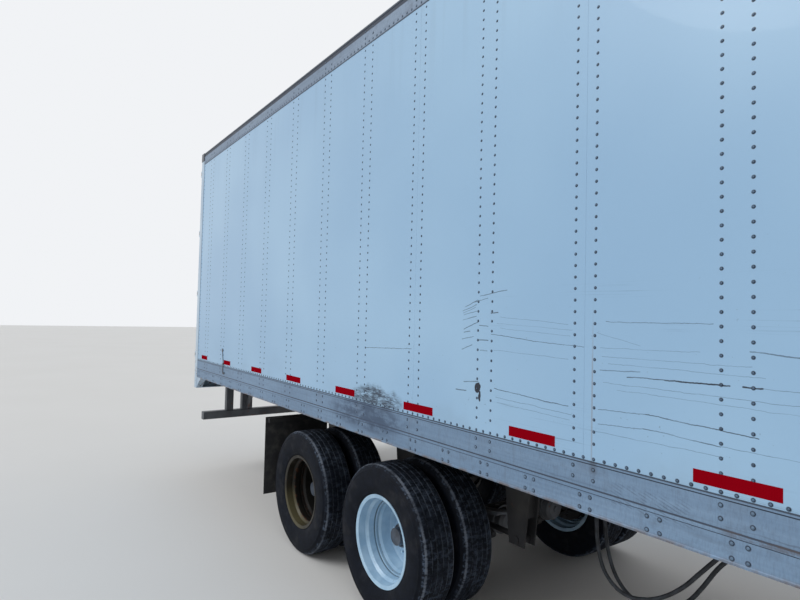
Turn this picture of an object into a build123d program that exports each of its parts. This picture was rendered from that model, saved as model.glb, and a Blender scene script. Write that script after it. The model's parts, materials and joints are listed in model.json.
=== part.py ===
"""A 53 ft sheet-and-post dry van semi trailer on its landing legs and a sliding tandem.

Millimetres. +X forward, +Y to the road side (left), +Z up. The origin is on the ground, in the middle of the
trailer's own box. Lengthwise places are stations: distances ahead of the rear frame's rear face.
"""
import math
import os

from build123d import *

# Overall size
LENGTH = 16154.0
WIDTH = 2591.0
HEIGHT = 4115.0
HALF = WIDTH / 2

# Heights of the floor and the rails
RAIL_LOW = 1200.0
RAIL_HEIGHT = 225.0
LOWER_BAND = 100.0
FLOOR_THICK = 35.0
TOP_RAIL_HEIGHT = 150.0
ROOF_SKIN = 4.0
ROOF_SINK = 3.0
FLOOR_UNDER = RAIL_LOW + LOWER_BAND
FLOOR_TOP = FLOOR_UNDER + FLOOR_THICK
TOP_RAIL_LOW = HEIGHT - TOP_RAIL_HEIGHT
ROOF_UNDER = HEIGHT - ROOF_SINK - ROOF_SKIN

# Walls, rails and their bays
WALL = 38.0
RAIL_WEB = 5.0
RAIL_GROOVE = 3.0
RAIL_LIP = 12.0
RAIL_FOOT = 8.0
GROOVE_BEAD = 7.0
LEDGE = 6.0
TOP_FLANGE = 48.0
POST_PITCH = 609.6
END_BAY = 457.2
CROSS_PITCH = 304.8
CROSS_WIDTH = 57.0
CROSS_WEB = 5.0
CROSS_SHIFT = 11.0
SHEET_GAP = 0.6
BOARD_WIDTH = 310.0
BOW_DEPTH = 25.0
BOW_WIDTH = 60.0
CORNER_RADIUS = 150.0
FRONT_WALL = 45.0

# Rear frame and doors
REAR_POST_DEPTH = 100.0
REAR_POST_WIDTH = 75.0
REAR_HEADER = 150.0
SILL_LOW = 1060.0
SILL_PLATE = 8.0
CAP_TALL = 100.0
CAP_PROUD = 4.0
DOOR_THICK = 38.0
DOOR_GAP = 6.0
DOOR_SPLIT = 8.0
HINGE_BACK = 30.0
HINGE_IN = 13.0
HINGE_PIN = 8.0
HINGE_KNUCKLE = 12.5
HINGE_RUN = 0.1
HINGE_LEAF = 9.0
HINGE_REACH = 190.0
HINGE_TALL = 76.0
HINGE_LUG = 18.0
HINGES = 4
HINGE_LOWEST = 1490.0
HINGE_TOP_GAP = 255.0
LOCK_ROD = 13.5
LOCK_ROD_OFF = 26.0
LOCK_ROD_IN = 210.0
LOCK_HANDLE_Z = 1950.0
BUMPER_DEPTH = 75.0
BUMPER_WIDE = 120.0
BUMPER_INSET = 155.5
BUMPER_IN = HALF - BUMPER_INSET - BUMPER_WIDE
NOSE_REACH = 70.0

# Axles and wheels
TYRE_RADIUS = 508.0
TYRE_WIDTH = 280.0
RIM_FLANGE = 302.5
RIM_SEAT = 285.75
RIM_WIDTH = 234.0
DUAL_CENTRE = 940.0
DUAL_SPACING = 330.0
REAR_AXLE = 3048.0
AXLE_SPACING = 1245.0
AXLE_TUBE = 63.5
SPINDLE = 49.7
HUB_BORE = 50.0
HUB_BACK = 184.0
HUB_CAP_RADIUS = 58.0
HUB_CAP_REACH = 152.0
DRUM_RADIUS = 222.0
DRUM_BACK = 209.0
SPINDLE_REACH = 101.0
SPINDLE_END_GAP = 7.0
SHIELD_BACK = 224.0
SHIELD_THICK = 8.0
DISC_PLATE = 11.0
BOLT_FACE_RADIUS = 110.0
HAND_HOLE_PLACE = 231.0
HAND_HOLE_RADIUS = 26.0
HAND_HOLE_STOP = 40.0
HAND_HOLE_TURN = -33.0
HAND_HOLES = 2
FRONT_AXLE = REAR_AXLE + AXLE_SPACING
TANDEM_CENTRE = REAR_AXLE + AXLE_SPACING / 2

# Sliding tandem
SLIDE_TRAVEL = 1676.4
SLIDE_FRAME_BACK = 1400.0
SLIDE_FRAME_FRONT = 1400.0
FRAME_LOW = 960.0
FRAME_WIDTH = 82.0
FRAME_PLATE = 8.0
FRAME_IN = 470.0
PAD_THICK = 8.0
SLIDE_RAIL_TALL = 90.0
SLIDE_RAIL_PLATE = 8.0
SLIDE_GAP = 0.3
RAIL_GAP = 8.0
PIN_PITCH = 152.4
PIN_RADIUS = 22.0
SPRING_WIDTH = 76.0
LEAF = 14.0
HANGER_PLATE = 10.0

# Landing gear and coupler
KINGPIN_BACK = 914.4
COUPLER_PLATE = 8.0
COUPLER_LENGTH = 1320.0
COUPLER_WIDTH = 1220.0
LEG_BACK = 3560.0
LEG_Y = 800.0
LEG_OUTER = 127.0
LEG_INNER = 108.0
LEG_HOUSING_LOW = 420.0
SHOE = 254.0

# Underride guard
GUARD_LOW = 640.0
GUARD_TUBE = 100.0
GUARD_INSET = 105.5
GUARD_HALF = HALF - GUARD_INSET
GUARD_STRUT_DEEP = 80.0
GUARD_SETBACK = 10.0
GUARD_BRACE_WIDE = 36.0
GUARD_BRACE_TALL = 90.0
GUARD_BRACE_RUN = 390.0

# Struts of the guard as (distance from the middle, width)
GUARD_STRUTS = ((846.0, 90.0), (610.0, 140.0))

X_REAR = BUMPER_DEPTH / 2 - NOSE_REACH / 2 - LENGTH / 2
X_NOSE = X_REAR + LENGTH
SKIN_Y = HALF - RAIL_WEB
INNER_Y = SKIN_Y - WALL
AXLE_Z = TYRE_RADIUS


def at(station):
    """X of a station, a distance ahead of the rear frame's rear face."""
    return X_REAR + station


def block(x0, x1, y0, y1, z0, z1):
    """A box from its six faces."""
    return Pos((x0 + x1) / 2, (y0 + y1) / 2, (z0 + z1) / 2) * Box(x1 - x0, y1 - y0, z1 - z0)


def outline(points):
    """A face from corner points in its own plane."""
    return make_face(Polyline(*points, close=True))


def along_x(face, x0, x1):
    """A (y, z) outline pushed from x0 to x1."""
    return extrude(Plane.YZ.offset(x0) * face, x1 - x0)


def along_y(face, y0, y1):
    """An (x, z) outline pushed from y0 to y1."""
    return extrude(Plane.XZ.offset(-y1) * face, y1 - y0)


def along_z(face, z0, z1):
    """An (x, y) outline pushed from z0 to z1."""
    return extrude(Plane.XY.offset(z0) * face, z1 - z0)


def rod_x(x0, x1, y, z, radius):
    return Pos((x0 + x1) / 2, y, z) * Rot(0, 90, 0) * Cylinder(radius, x1 - x0)


def rod_y(x, y0, y1, z, radius):
    return Pos(x, (y0 + y1) / 2, z) * Rot(90, 0, 0) * Cylinder(radius, y1 - y0)


def rod_z(x, y, z0, z1, radius):
    return Pos(x, y, (z0 + z1) / 2) * Cylinder(radius, z1 - z0)


def other_side(shape):
    return mirror(shape, about=Plane.XZ)


def both_sides(shapes):
    """The road side's pieces with their copies on the curb side."""
    return list(shapes) + [other_side(shape) for shape in shapes]


def fused(pieces):
    """One solid from pieces that touch or overlap."""
    whole = pieces[0]
    for piece in pieces[1:]:
        whole = whole + piece
    return whole


def save(node, pieces):
    """Write one sub-part, as one solid or as several that do not touch."""
    solids = [solid for piece in pieces for solid in piece.solids()]
    export_step(Compound(children=solids) if len(solids) > 1 else solids[0], f"parts/{node}.step")


# Body: floor, rails and walls


def post_stations():
    count = round((LENGTH - 2 * END_BAY) / POST_PITCH) + 1
    return [END_BAY + POST_PITCH * index for index in range(count)]


def floor_boards():
    """Hardwood boards laid lengthwise between the two wall linings."""
    count = round(2 * INNER_Y / BOARD_WIDTH)
    width = 2 * INNER_Y / count
    x0, x1 = at(REAR_POST_DEPTH), X_NOSE - FRONT_WALL
    boards = []
    for index in range(count):
        y0 = -INNER_Y + index * width
        short = CORNER_RADIUS if index in (0, count - 1) else 0
        boards.append(block(x0, x1 - short, y0 + SHEET_GAP / 2, y0 + width - SHEET_GAP / 2,
                            FLOOR_UNDER, FLOOR_TOP))
    return boards


def cross_member(x):
    """One I-beam across the trailer, from rail to rail."""
    flange = CROSS_WIDTH / 2
    web = CROSS_WEB / 2
    low, high = RAIL_LOW, FLOOR_UNDER
    face = outline([
        (x - flange, low), (x + flange, low), (x + flange, low + CROSS_WEB), (x + web, low + CROSS_WEB),
        (x + web, high - CROSS_WEB), (x + flange, high - CROSS_WEB), (x + flange, high), (x - flange, high),
        (x - flange, high - CROSS_WEB), (x - web, high - CROSS_WEB), (x - web, low + CROSS_WEB),
        (x - flange, low + CROSS_WEB),
    ])
    return along_y(face, -SKIN_Y, SKIN_Y)


def cross_stations():
    first = END_BAY + CROSS_SHIFT - CROSS_PITCH
    last = LENGTH - KINGPIN_BACK - COUPLER_LENGTH / 2 - CROSS_PITCH / 2
    return [first + CROSS_PITCH * index for index in range(int((last - first) / CROSS_PITCH) + 1)]


def bottom_rail():
    """Extruded side rail: two sunk bands outside with a bead between, and the ledge that the wall stands on."""
    top = RAIL_LOW + RAIL_HEIGHT
    groove = FLOOR_UNDER
    band = HALF - RAIL_GROOVE
    face = outline([
        (HALF, RAIL_LOW), (HALF, RAIL_LOW + RAIL_FOOT), (band, RAIL_LOW + RAIL_FOOT + RAIL_GROOVE),
        (band, groove - GROOVE_BEAD - RAIL_GROOVE), (HALF, groove - GROOVE_BEAD), (HALF, groove + GROOVE_BEAD),
        (band, groove + GROOVE_BEAD + RAIL_GROOVE), (band, top - RAIL_LIP - RAIL_GROOVE), (HALF, top - RAIL_LIP),
        (HALF, top - RAIL_GROOVE), (band, top), (SKIN_Y, top),
        (SKIN_Y, groove + LEDGE), (INNER_Y, groove + LEDGE), (INNER_Y, groove), (SKIN_Y, groove),
        (SKIN_Y, RAIL_LOW),
    ])
    return along_x(face, at(REAR_POST_DEPTH), X_NOSE - CORNER_RADIUS)


def top_rail():
    """Extruded side rail with an inward flange under the roof sheet."""
    band = HALF - RAIL_GROOVE
    face = outline([
        (band, TOP_RAIL_LOW), (band, ROOF_UNDER - RAIL_LIP - RAIL_GROOVE), (HALF, ROOF_UNDER - RAIL_LIP),
        (HALF, ROOF_UNDER), (HALF - TOP_FLANGE, ROOF_UNDER), (HALF - TOP_FLANGE, ROOF_UNDER - RAIL_WEB),
        (SKIN_Y, ROOF_UNDER - RAIL_WEB), (SKIN_Y, TOP_RAIL_LOW),
    ])
    return along_x(face, at(REAR_POST_DEPTH), X_NOSE - CORNER_RADIUS)


def side_sheets():
    """Wall sections between the seams, which fall on every second post."""
    seams = [REAR_POST_DEPTH] + post_stations()[1::2]
    end = LENGTH - CORNER_RADIUS
    seams = [station for station in seams if station < end - END_BAY / 2] + [end]
    sheets = []
    for start, stop in zip(seams, seams[1:]):
        sheets.append(block(at(start) + SHEET_GAP / 2, at(stop) - SHEET_GAP / 2, INNER_Y, SKIN_Y,
                            FLOOR_UNDER + LEDGE, ROOF_UNDER - RAIL_WEB))
    return sheets


def roof_bows():
    """Shallow hat bows under the roof sheet, one at each post."""
    top = ROOF_UNDER - RAIL_WEB
    low = ROOF_UNDER - RAIL_WEB - BOW_DEPTH
    bows = []
    for station in post_stations():
        x = at(station)
        face = outline([
            (x - BOW_WIDTH / 2, top), (x - BOW_WIDTH / 4, low), (x + BOW_WIDTH / 4, low), (x + BOW_WIDTH / 2, top),
        ])
        bows.append(along_y(face, -INNER_Y, INNER_Y))
    return bows


def front_corner():
    """Rounded corner post, as thick as the front wall."""
    centre_x, centre_y = X_NOSE - CORNER_RADIUS, HALF - CORNER_RADIUS
    ring = Circle(CORNER_RADIUS) - Circle(CORNER_RADIUS - FRONT_WALL)
    quarter = Pos(centre_x, centre_y) * (ring & Pos(CORNER_RADIUS / 2, CORNER_RADIUS / 2) * Rectangle(
        CORNER_RADIUS, CORNER_RADIUS))
    return along_z(quarter, RAIL_LOW, ROOF_UNDER)


def front_panels():
    """The front wall in four upright sections."""
    half = HALF - CORNER_RADIUS
    width = 2 * half / 4
    return [
        block(X_NOSE - FRONT_WALL, X_NOSE - RAIL_WEB, -half + index * width + SHEET_GAP / 2,
              -half + (index + 1) * width - SHEET_GAP / 2, FLOOR_UNDER, TOP_RAIL_LOW + TOP_RAIL_HEIGHT / 2)
        for index in range(4)
    ]


def front_rail(low, high):
    """A rail along the front wall, between the corner posts."""
    half = HALF - CORNER_RADIUS
    return block(X_NOSE - RAIL_WEB, X_NOSE, -half, half, low, high)


def front_rails():
    half = HALF - CORNER_RADIUS
    lower = front_rail(RAIL_LOW, RAIL_LOW + RAIL_HEIGHT) + block(
        X_NOSE - FRONT_WALL, X_NOSE - RAIL_WEB, -half, half, RAIL_LOW, FLOOR_UNDER)
    upper = front_rail(TOP_RAIL_LOW, ROOF_UNDER) + block(
        X_NOSE - FRONT_WALL, X_NOSE - RAIL_WEB, -half, half, TOP_RAIL_LOW + TOP_RAIL_HEIGHT / 2, ROOF_UNDER)
    return [lower, upper]


def roof_sheet():
    """The roof sheet lies on the rails' flanges, rounds the front corners and stops at the rear corner caps."""
    top = ROOF_UNDER + ROOF_SKIN
    sheet = block(at(0), X_NOSE, -HALF, HALF, ROOF_UNDER, top)
    corners = sheet.edges().filter_by(Axis.Z).group_by(Axis.X)[-1]
    notch = block(at(-1), at(REAR_POST_DEPTH), POST_IN, HALF + 1, ROOF_UNDER - 1, top + 1)
    return fillet(corners, CORNER_RADIUS) - both_sides([notch])


# Rear frame and doors

DOOR_LOW = FLOOR_TOP + DOOR_GAP
HEADER_LOW = HEIGHT - REAR_HEADER
DOOR_HIGH = HEADER_LOW - DOOR_GAP
POST_IN = HALF - REAR_POST_WIDTH
DOOR_EDGE = POST_IN - DOOR_GAP
HINGE_X = X_REAR - HINGE_BACK
HINGE_Y = HALF - HINGE_IN
HINGE_PITCH = (HEIGHT - HINGE_TOP_GAP - HINGE_LOWEST) / (HINGES - 1)
HINGE_HEIGHTS = [HINGE_LOWEST + HINGE_PITCH * index for index in range(HINGES)]


LAMP_RADIUS = 54.0
LAMP_SINK = 20.0
LAMP_RISE = 100.0
LAMP_GAP = 120.0
LAMP_PITCH = 140.0
LAMPS = 3
LAMP_Z = SILL_LOW + LAMP_RISE
LAMP_PLACES = [BUMPER_IN - LAMP_GAP - LAMP_PITCH * index for index in range(LAMPS)]


def rear_sill():
    """Channel sill under the doors, with round holes for the lamps."""
    face = outline([
        (at(0), SILL_LOW), (at(REAR_POST_DEPTH), SILL_LOW), (at(REAR_POST_DEPTH), SILL_LOW + SILL_PLATE),
        (at(SILL_PLATE), SILL_LOW + SILL_PLATE), (at(SILL_PLATE), FLOOR_TOP - SILL_PLATE),
        (at(REAR_POST_DEPTH), FLOOR_TOP - SILL_PLATE), (at(REAR_POST_DEPTH), FLOOR_TOP), (at(0), FLOOR_TOP),
    ])
    sill = along_y(face, -POST_IN, POST_IN)
    for y in LAMP_PLACES:
        for side in (-1, 1):
            sill = sill - rod_x(at(-1), at(SILL_PLATE + 1), side * y, LAMP_Z, LAMP_RADIUS)
    return fused([sill] + both_sides(keeper(FLOOR_TOP - 64, FLOOR_TOP - 10)))


def rear_lamp(y):
    """Sealed round lamp, domed behind, in its hole in the sill."""
    body = rod_x(at(-4), at(LAMP_SINK), y, LAMP_Z, LAMP_RADIUS - 0.3)
    return chamfer(body.edges().group_by(Axis.X)[0], 3.0)


GUSSET_LONG = 220.0
GUSSET_BEND_OUT = 80.0
GUSSET_BEND_DOWN = 58.0


def gusset():
    """Bracket between the rear post and the underside of the bottom rail."""
    x0, x1 = at(REAR_POST_DEPTH), at(REAR_POST_DEPTH + GUSSET_LONG)
    low = SILL_LOW
    curve = ThreePointArc((x1, RAIL_LOW), (x0 + GUSSET_BEND_OUT, RAIL_LOW - GUSSET_BEND_DOWN), (x0, low))
    face = make_face([Line((x0, low), (x0, RAIL_LOW)), Line((x0, RAIL_LOW), (x1, RAIL_LOW)), curve])
    return along_y(face, HALF - REAR_POST_WIDTH, HALF - RAIL_GROOVE)


def hinge_butt(z):
    """Two lugs on the rear post with the hinge pin between them."""
    lugs = []
    for low in (z - HINGE_TALL / 2, z + HINGE_TALL / 2 - HINGE_LUG):
        lugs.append(rod_z(HINGE_X, HINGE_Y, low, low + HINGE_LUG, HINGE_KNUCKLE))
        lugs.append(block(HINGE_X, X_REAR, HINGE_Y - HINGE_KNUCKLE, HINGE_Y + HINGE_KNUCKLE, low, low + HINGE_LUG))
    pin = rod_z(HINGE_X, HINGE_Y, z - HINGE_TALL / 2, z + HINGE_TALL / 2, HINGE_PIN)
    return fused(lugs + [pin])


def hinge_leaf(z):
    """Knuckle round the pin and the strap over the door's outer face."""
    low, high = z - HINGE_TALL / 2 + HINGE_LUG + 1, z + HINGE_TALL / 2 - HINGE_LUG - 1
    knuckle = rod_z(HINGE_X, HINGE_Y, low, high, HINGE_KNUCKLE)
    lift = 0.5
    web = block(X_REAR - HINGE_LEAF - lift, X_REAR - lift, DOOR_EDGE, HINGE_Y, low, high)
    neck = block(HINGE_X, X_REAR - lift, HINGE_Y - HINGE_KNUCKLE, HINGE_Y - HINGE_PIN - 1, low, high)
    strap = block(X_REAR - HINGE_LEAF - lift, X_REAR, HINGE_Y - HINGE_REACH, DOOR_EDGE, low, high)
    return fused([knuckle, web, neck, strap]) - rod_z(HINGE_X, HINGE_Y, low - 1, high + 1, HINGE_PIN + HINGE_RUN)


def door_panel():
    """One swing door, as thick as the whole door, with its edges rounded down."""
    panel = block(at(0), at(DOOR_THICK), DOOR_SPLIT / 2, DOOR_EDGE, DOOR_LOW, DOOR_HIGH)
    return chamfer(panel.faces().sort_by(Axis.X)[0].edges(), 4.0)


def lock_gear():
    """Lock rod with its cams, guides and handle."""
    x = X_REAR - LOCK_ROD_OFF
    low, high = FLOOR_TOP - 60, HEADER_LOW + 60
    pieces = [rod_z(x, LOCK_ROD_IN, low, high, LOCK_ROD)]
    for z in (low, high - 40):
        pieces.append(block(x - LOCK_ROD, X_REAR - 3, LOCK_ROD_IN - 10, LOCK_ROD_IN + 10, z, z + 40))
    guides = 4
    for index in range(guides):
        z = DOOR_LOW + 120 + index * (DOOR_HIGH - DOOR_LOW - 240 - 50) / (guides - 1)
        pieces.append(block(x - LOCK_ROD - 4, X_REAR, LOCK_ROD_IN - 20, LOCK_ROD_IN + 20, z, z + 50))
        pieces.append(block(X_REAR - 6, X_REAR, LOCK_ROD_IN - 45, LOCK_ROD_IN + 45, z, z + 50))
    pieces.append(block(x - 8, x + 6, LOCK_ROD_IN, LOCK_ROD_IN + 420, LOCK_HANDLE_Z, LOCK_HANDLE_Z + 36))
    pieces.append(block(x + 6, X_REAR, LOCK_ROD_IN + 360, LOCK_ROD_IN + 400, LOCK_HANDLE_Z, LOCK_HANDLE_Z + 36))
    return fused(pieces)


def keeper(z0, z1):
    """Open keeper that holds a lock rod's cam on the sill or the header."""
    pieces = []
    for y0 in (LOCK_ROD_IN - 34, LOCK_ROD_IN + 24):
        pieces.append(block(X_REAR - 30, X_REAR, y0, y0 + 10, z0, z1))
    return pieces


def rear_post():
    """Steel post with its corner cap, hinge butts and the gusset under the bottom rail."""
    post = block(at(0), at(REAR_POST_DEPTH), POST_IN, HALF, SILL_LOW, HEIGHT - CAP_TALL)
    cap = block(at(-CAP_PROUD), at(REAR_POST_DEPTH), POST_IN, HALF + CAP_PROUD, HEIGHT - CAP_TALL, HEIGHT)
    return fused([post, cap, gusset()] + [hinge_butt(z) for z in HINGE_HEIGHTS])


def rear_header():
    """Box header over the doors, with the keepers for the lock rods."""
    header = block(at(0), at(REAR_POST_DEPTH), -POST_IN, POST_IN, HEADER_LOW, ROOF_UNDER)
    return fused([header] + both_sides(keeper(HEADER_LOW + 10, HEADER_LOW + 64)))


def dock_bumper():
    return block(at(-BUMPER_DEPTH), at(0), BUMPER_IN, BUMPER_IN + BUMPER_WIDE, SILL_LOW + SILL_PLATE,
                 FLOOR_TOP - SILL_PLATE)


def rear_guard():
    """Underride guard: a cross tube on two struts a side, the inner ones braced forward to the floor frame."""
    tube = block(at(0), at(GUARD_TUBE), -GUARD_HALF, GUARD_HALF, GUARD_LOW, GUARD_LOW + GUARD_TUBE)
    tube = fillet(tube.edges().filter_by(Axis.Y), GUARD_TUBE / 8)
    top = GUARD_LOW + GUARD_TUBE
    back, front = at(GUARD_SETBACK), at(GUARD_SETBACK + GUARD_STRUT_DEEP)
    pieces = []
    for y, width in GUARD_STRUTS:
        pieces.append(block(back, front, y - width / 2, y + width / 2, top - GUARD_TUBE / 5, SILL_LOW))
    brace_y = GUARD_STRUTS[-1][0]
    brace = outline([
        (front, top), (front, top + GUARD_BRACE_TALL), (front + GUARD_BRACE_RUN - GUARD_STRUT_DEEP, RAIL_LOW),
        (front + GUARD_BRACE_RUN, RAIL_LOW),
    ])
    pieces.append(along_y(brace, brace_y - GUARD_BRACE_WIDE / 2, brace_y + GUARD_BRACE_WIDE / 2))
    return fused([tube] + both_sides(pieces))


HOLDBACK_STATION = 1090.0
HOLDBACK_TOP = 1620.0
HOLDBACK_EYE = 36.0
HOLDBACK_LEAN = 36.0
HOLDBACK_BAR = 9.0
HOLDBACK_BLOCK_Z = 1440.0
HOLDBACK_HOOK_Z = 1335.0
HOLDBACK_HOOK_REACH = 60.0
HOLDBACK_THICK = 5.0


def holdback():
    """Chain plate on the side wall and the hook below it, over the rail, that holds an open door."""
    x, bar, eye = at(HOLDBACK_STATION), HOLDBACK_BAR, HOLDBACK_EYE
    foot = x + HOLDBACK_LEAN
    tip = foot + HOLDBACK_HOOK_REACH
    plate = block(x - eye / 2, x + eye / 2, SKIN_Y, SKIN_Y + HOLDBACK_THICK, HOLDBACK_TOP - eye, HOLDBACK_TOP)
    chain = outline([
        (x - bar / 2, HOLDBACK_TOP - eye / 2), (x + bar / 2, HOLDBACK_TOP - eye / 2),
        (foot + bar / 2, HOLDBACK_BLOCK_Z + bar), (foot - bar / 2, HOLDBACK_BLOCK_Z + bar),
    ])
    socket = block(foot - bar, foot + 2 * bar, SKIN_Y, HALF + HOLDBACK_THICK, HOLDBACK_BLOCK_Z,
                   HOLDBACK_BLOCK_Z + eye / 2)
    hook = outline([
        (foot, HOLDBACK_BLOCK_Z + bar), (foot, HOLDBACK_HOOK_Z + 2 * bar), (foot + bar, HOLDBACK_HOOK_Z),
        (tip - bar, HOLDBACK_HOOK_Z), (tip, HOLDBACK_HOOK_Z + bar), (tip, HOLDBACK_HOOK_Z + 3 * bar),
        (tip - bar, HOLDBACK_HOOK_Z + 3 * bar), (tip - 2 * bar, HOLDBACK_HOOK_Z + bar),
        (foot + 2 * bar, HOLDBACK_HOOK_Z + bar), (foot + bar, HOLDBACK_HOOK_Z + 2 * bar),
        (foot + bar, HOLDBACK_BLOCK_Z + bar),
    ])
    return fused([plate, along_y(chain, SKIN_Y, SKIN_Y + HOLDBACK_THICK), socket,
                  along_y(hook, HALF, HALF + HOLDBACK_THICK)])


# Sliding rails and tandem

RAIL_WEB_IN = FRAME_IN + FRAME_WIDTH + RAIL_GAP
FRAME_TOP = RAIL_LOW - SLIDE_RAIL_PLATE - SLIDE_GAP - PAD_THICK
FRAME_X0 = at(TANDEM_CENTRE - SLIDE_FRAME_BACK)
FRAME_X1 = at(TANDEM_CENTRE + SLIDE_FRAME_FRONT)
FRAME_MID = FRAME_IN + FRAME_WIDTH / 2
PIN_Z = RAIL_LOW - SLIDE_RAIL_TALL / 2


def slide_rail():
    """Body rail under the floor, with the row of holes for the lock pins."""
    x0 = FRAME_X0 - SLIDE_TRAVEL - 40
    x1 = FRAME_X1 + 300
    low = RAIL_LOW - SLIDE_RAIL_TALL
    out = RAIL_WEB_IN + SLIDE_RAIL_PLATE
    face = outline([
        (FRAME_IN, RAIL_LOW), (FRAME_IN, RAIL_LOW - SLIDE_RAIL_PLATE), (RAIL_WEB_IN, RAIL_LOW - SLIDE_RAIL_PLATE),
        (RAIL_WEB_IN, low), (out + 20, low), (out + 20, low + SLIDE_RAIL_PLATE), (out, low + SLIDE_RAIL_PLATE),
        (out, RAIL_LOW),
    ])
    rail = along_x(face, x0, x1)
    count = int((x1 - x0 - 200) / PIN_PITCH)
    holes = [rod_y(x0 + 100 + PIN_PITCH * index, RAIL_WEB_IN - 2, out + 2, PIN_Z, PIN_RADIUS + 2)
             for index in range(count + 1)]
    return rail - holes


def channel_rail():
    """One long channel of the sliding frame, open inwards."""
    out = FRAME_IN + FRAME_WIDTH
    face = outline([
        (FRAME_IN, FRAME_LOW), (out, FRAME_LOW), (out, FRAME_TOP), (FRAME_IN, FRAME_TOP),
        (FRAME_IN, FRAME_TOP - FRAME_PLATE), (out - FRAME_PLATE, FRAME_TOP - FRAME_PLATE),
        (out - FRAME_PLATE, FRAME_LOW + FRAME_PLATE), (FRAME_IN, FRAME_LOW + FRAME_PLATE),
    ])
    return along_x(face, FRAME_X0, FRAME_X1)


SLIDE_CROSS = (70.0, 780.0, 1400.0, 2020.0, 2730.0)
TANK_RADIUS = 118.0
TANK_HALF = 330.0
TANK_X = FRAME_X0 + SLIDE_CROSS[-1] - 40 - 20 - TANK_RADIUS
TANK_Z = FRAME_LOW + 100
STRAP = 6.0
STRAP_RUN = 0.3
LOCK_PLACES = (420.0, 2380.0)


def tank_strap(y):
    """Band round the air tank with its arm to the front cross channel."""
    band = rod_y(TANK_X, y - 20, y + 20, TANK_Z, TANK_RADIUS + STRAP)
    arm = block(TANK_X, FRAME_X0 + SLIDE_CROSS[-1] - 32, y - 20, y + 20, TANK_Z - 12, TANK_Z + 12)
    return band + arm - rod_y(TANK_X, y - 21, y + 21, TANK_Z, TANK_RADIUS + STRAP_RUN)


def slide_frame():
    """The welded frame that slides under the body rails, with its pads, lock pins, straps and flap arms."""
    out = FRAME_IN + FRAME_WIDTH
    pins = [rod_y(FRAME_X0 + place, FRAME_IN + 20, out + 2, PIN_Z, PIN_RADIUS) for place in LOCK_PLACES]
    pieces = [channel_rail(), other_side(channel_rail()), tank_strap(-200), tank_strap(200)]
    pieces += both_sides(slide_pads() + pins + [flap_arm()]) + [hose_bracket()]
    reach = FRAME_IN + FRAME_WIDTH - FRAME_PLATE
    for offset in SLIDE_CROSS:
        x = FRAME_X0 + offset
        face = outline([
            (x - 40, FRAME_LOW + 30), (x + 40, FRAME_LOW + 30), (x + 40, FRAME_LOW + 38), (x - 32, FRAME_LOW + 38),
            (x - 32, FRAME_TOP - 38), (x + 40, FRAME_TOP - 38), (x + 40, FRAME_TOP - 30), (x - 40, FRAME_TOP - 30),
        ])
        pieces.append(along_y(face, -reach, reach))
    return fused(pieces)


FLAP_X = REAR_AXLE - TYRE_RADIUS - 120
FLAP_THICK = 8.0
FLAP_LOW = 330.0
FLAP_TOP = 1050.0
FLAP_INSET = 5.5
FLAP_OUT = HALF - FLAP_INSET
FLAP_IN = DUAL_CENTRE - (DUAL_SPACING + TYRE_WIDTH) / 2
FLAP_ARM = 40.0


def flap_arm():
    """Arm from the sliding frame that a mud flap hangs from."""
    x = at(FLAP_X + FLAP_THICK)
    return block(x, x + FLAP_ARM, FRAME_IN + FRAME_WIDTH - FRAME_PLATE, FLAP_OUT - FLAP_ARM / 2,
                 FLAP_TOP - FLAP_ARM * 1.25, FLAP_TOP - FLAP_ARM / 4)


PAD_PLACES = (120.0, 1000.0, 1800.0, 2680.0)
PAD_HALF = 60.0


def slide_pads():
    """Wear pads between the frame's rails and the body rails."""
    return [block(FRAME_X0 + place - PAD_HALF, FRAME_X0 + place + PAD_HALF, FRAME_IN, FRAME_IN + FRAME_WIDTH,
                  FRAME_TOP, FRAME_TOP + PAD_THICK) for place in PAD_PLACES]


SPRING_HALF = AXLE_SPACING / 2 - 82
SEAT_Z = AXLE_Z + AXLE_TUBE
LEAF_LOW = SEAT_Z + 50
LEAF_RISE = 70.0
SEAT_HALF = 80.0


def leaf(x, half_length, rise, low):
    """One curved leaf, outlined by two arcs."""
    start, mid, stop = (x - half_length, low + rise), (x, low), (x + half_length, low + rise)
    top_start, top_mid, top_stop = [(px, pz + LEAF) for px, pz in (start, mid, stop)]
    face = make_face([
        ThreePointArc(start, mid, stop), Line(stop, top_stop), ThreePointArc(top_stop, top_mid, top_start),
        Line(top_start, start),
    ])
    return along_y(face, FRAME_MID - SPRING_WIDTH / 2, FRAME_MID + SPRING_WIDTH / 2)


def leaf_spring(axle_x):
    """Three-leaf spring pack over one axle seat."""
    steps = ((0, SPRING_HALF, 1.0), (1, SPRING_HALF * 0.8, 0.64), (2, SPRING_HALF * 0.5, 0.25))
    top = LEAF_LOW + 2 * LEAF
    return fused([leaf(axle_x, half, LEAF_RISE * share, top - LEAF * index) for index, half, share in steps])


ARM_Z = AXLE_Z + 78.0
ARM_RADIUS = 19.0
HANGER_PIN = 22.0
HANGER_PIN_RUN = 0.3
SPRING_TOP = LEAF_LOW + 3 * LEAF + LEAF_RISE
EQUALIZER_PIN_Z = SPRING_TOP + 32
EQUALIZER_TOP = SPRING_TOP + 82
HANGER_FRONT = FRONT_AXLE + AXLE_SPACING / 2
HANGER_REAR = REAR_AXLE - AXLE_SPACING / 2


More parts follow.
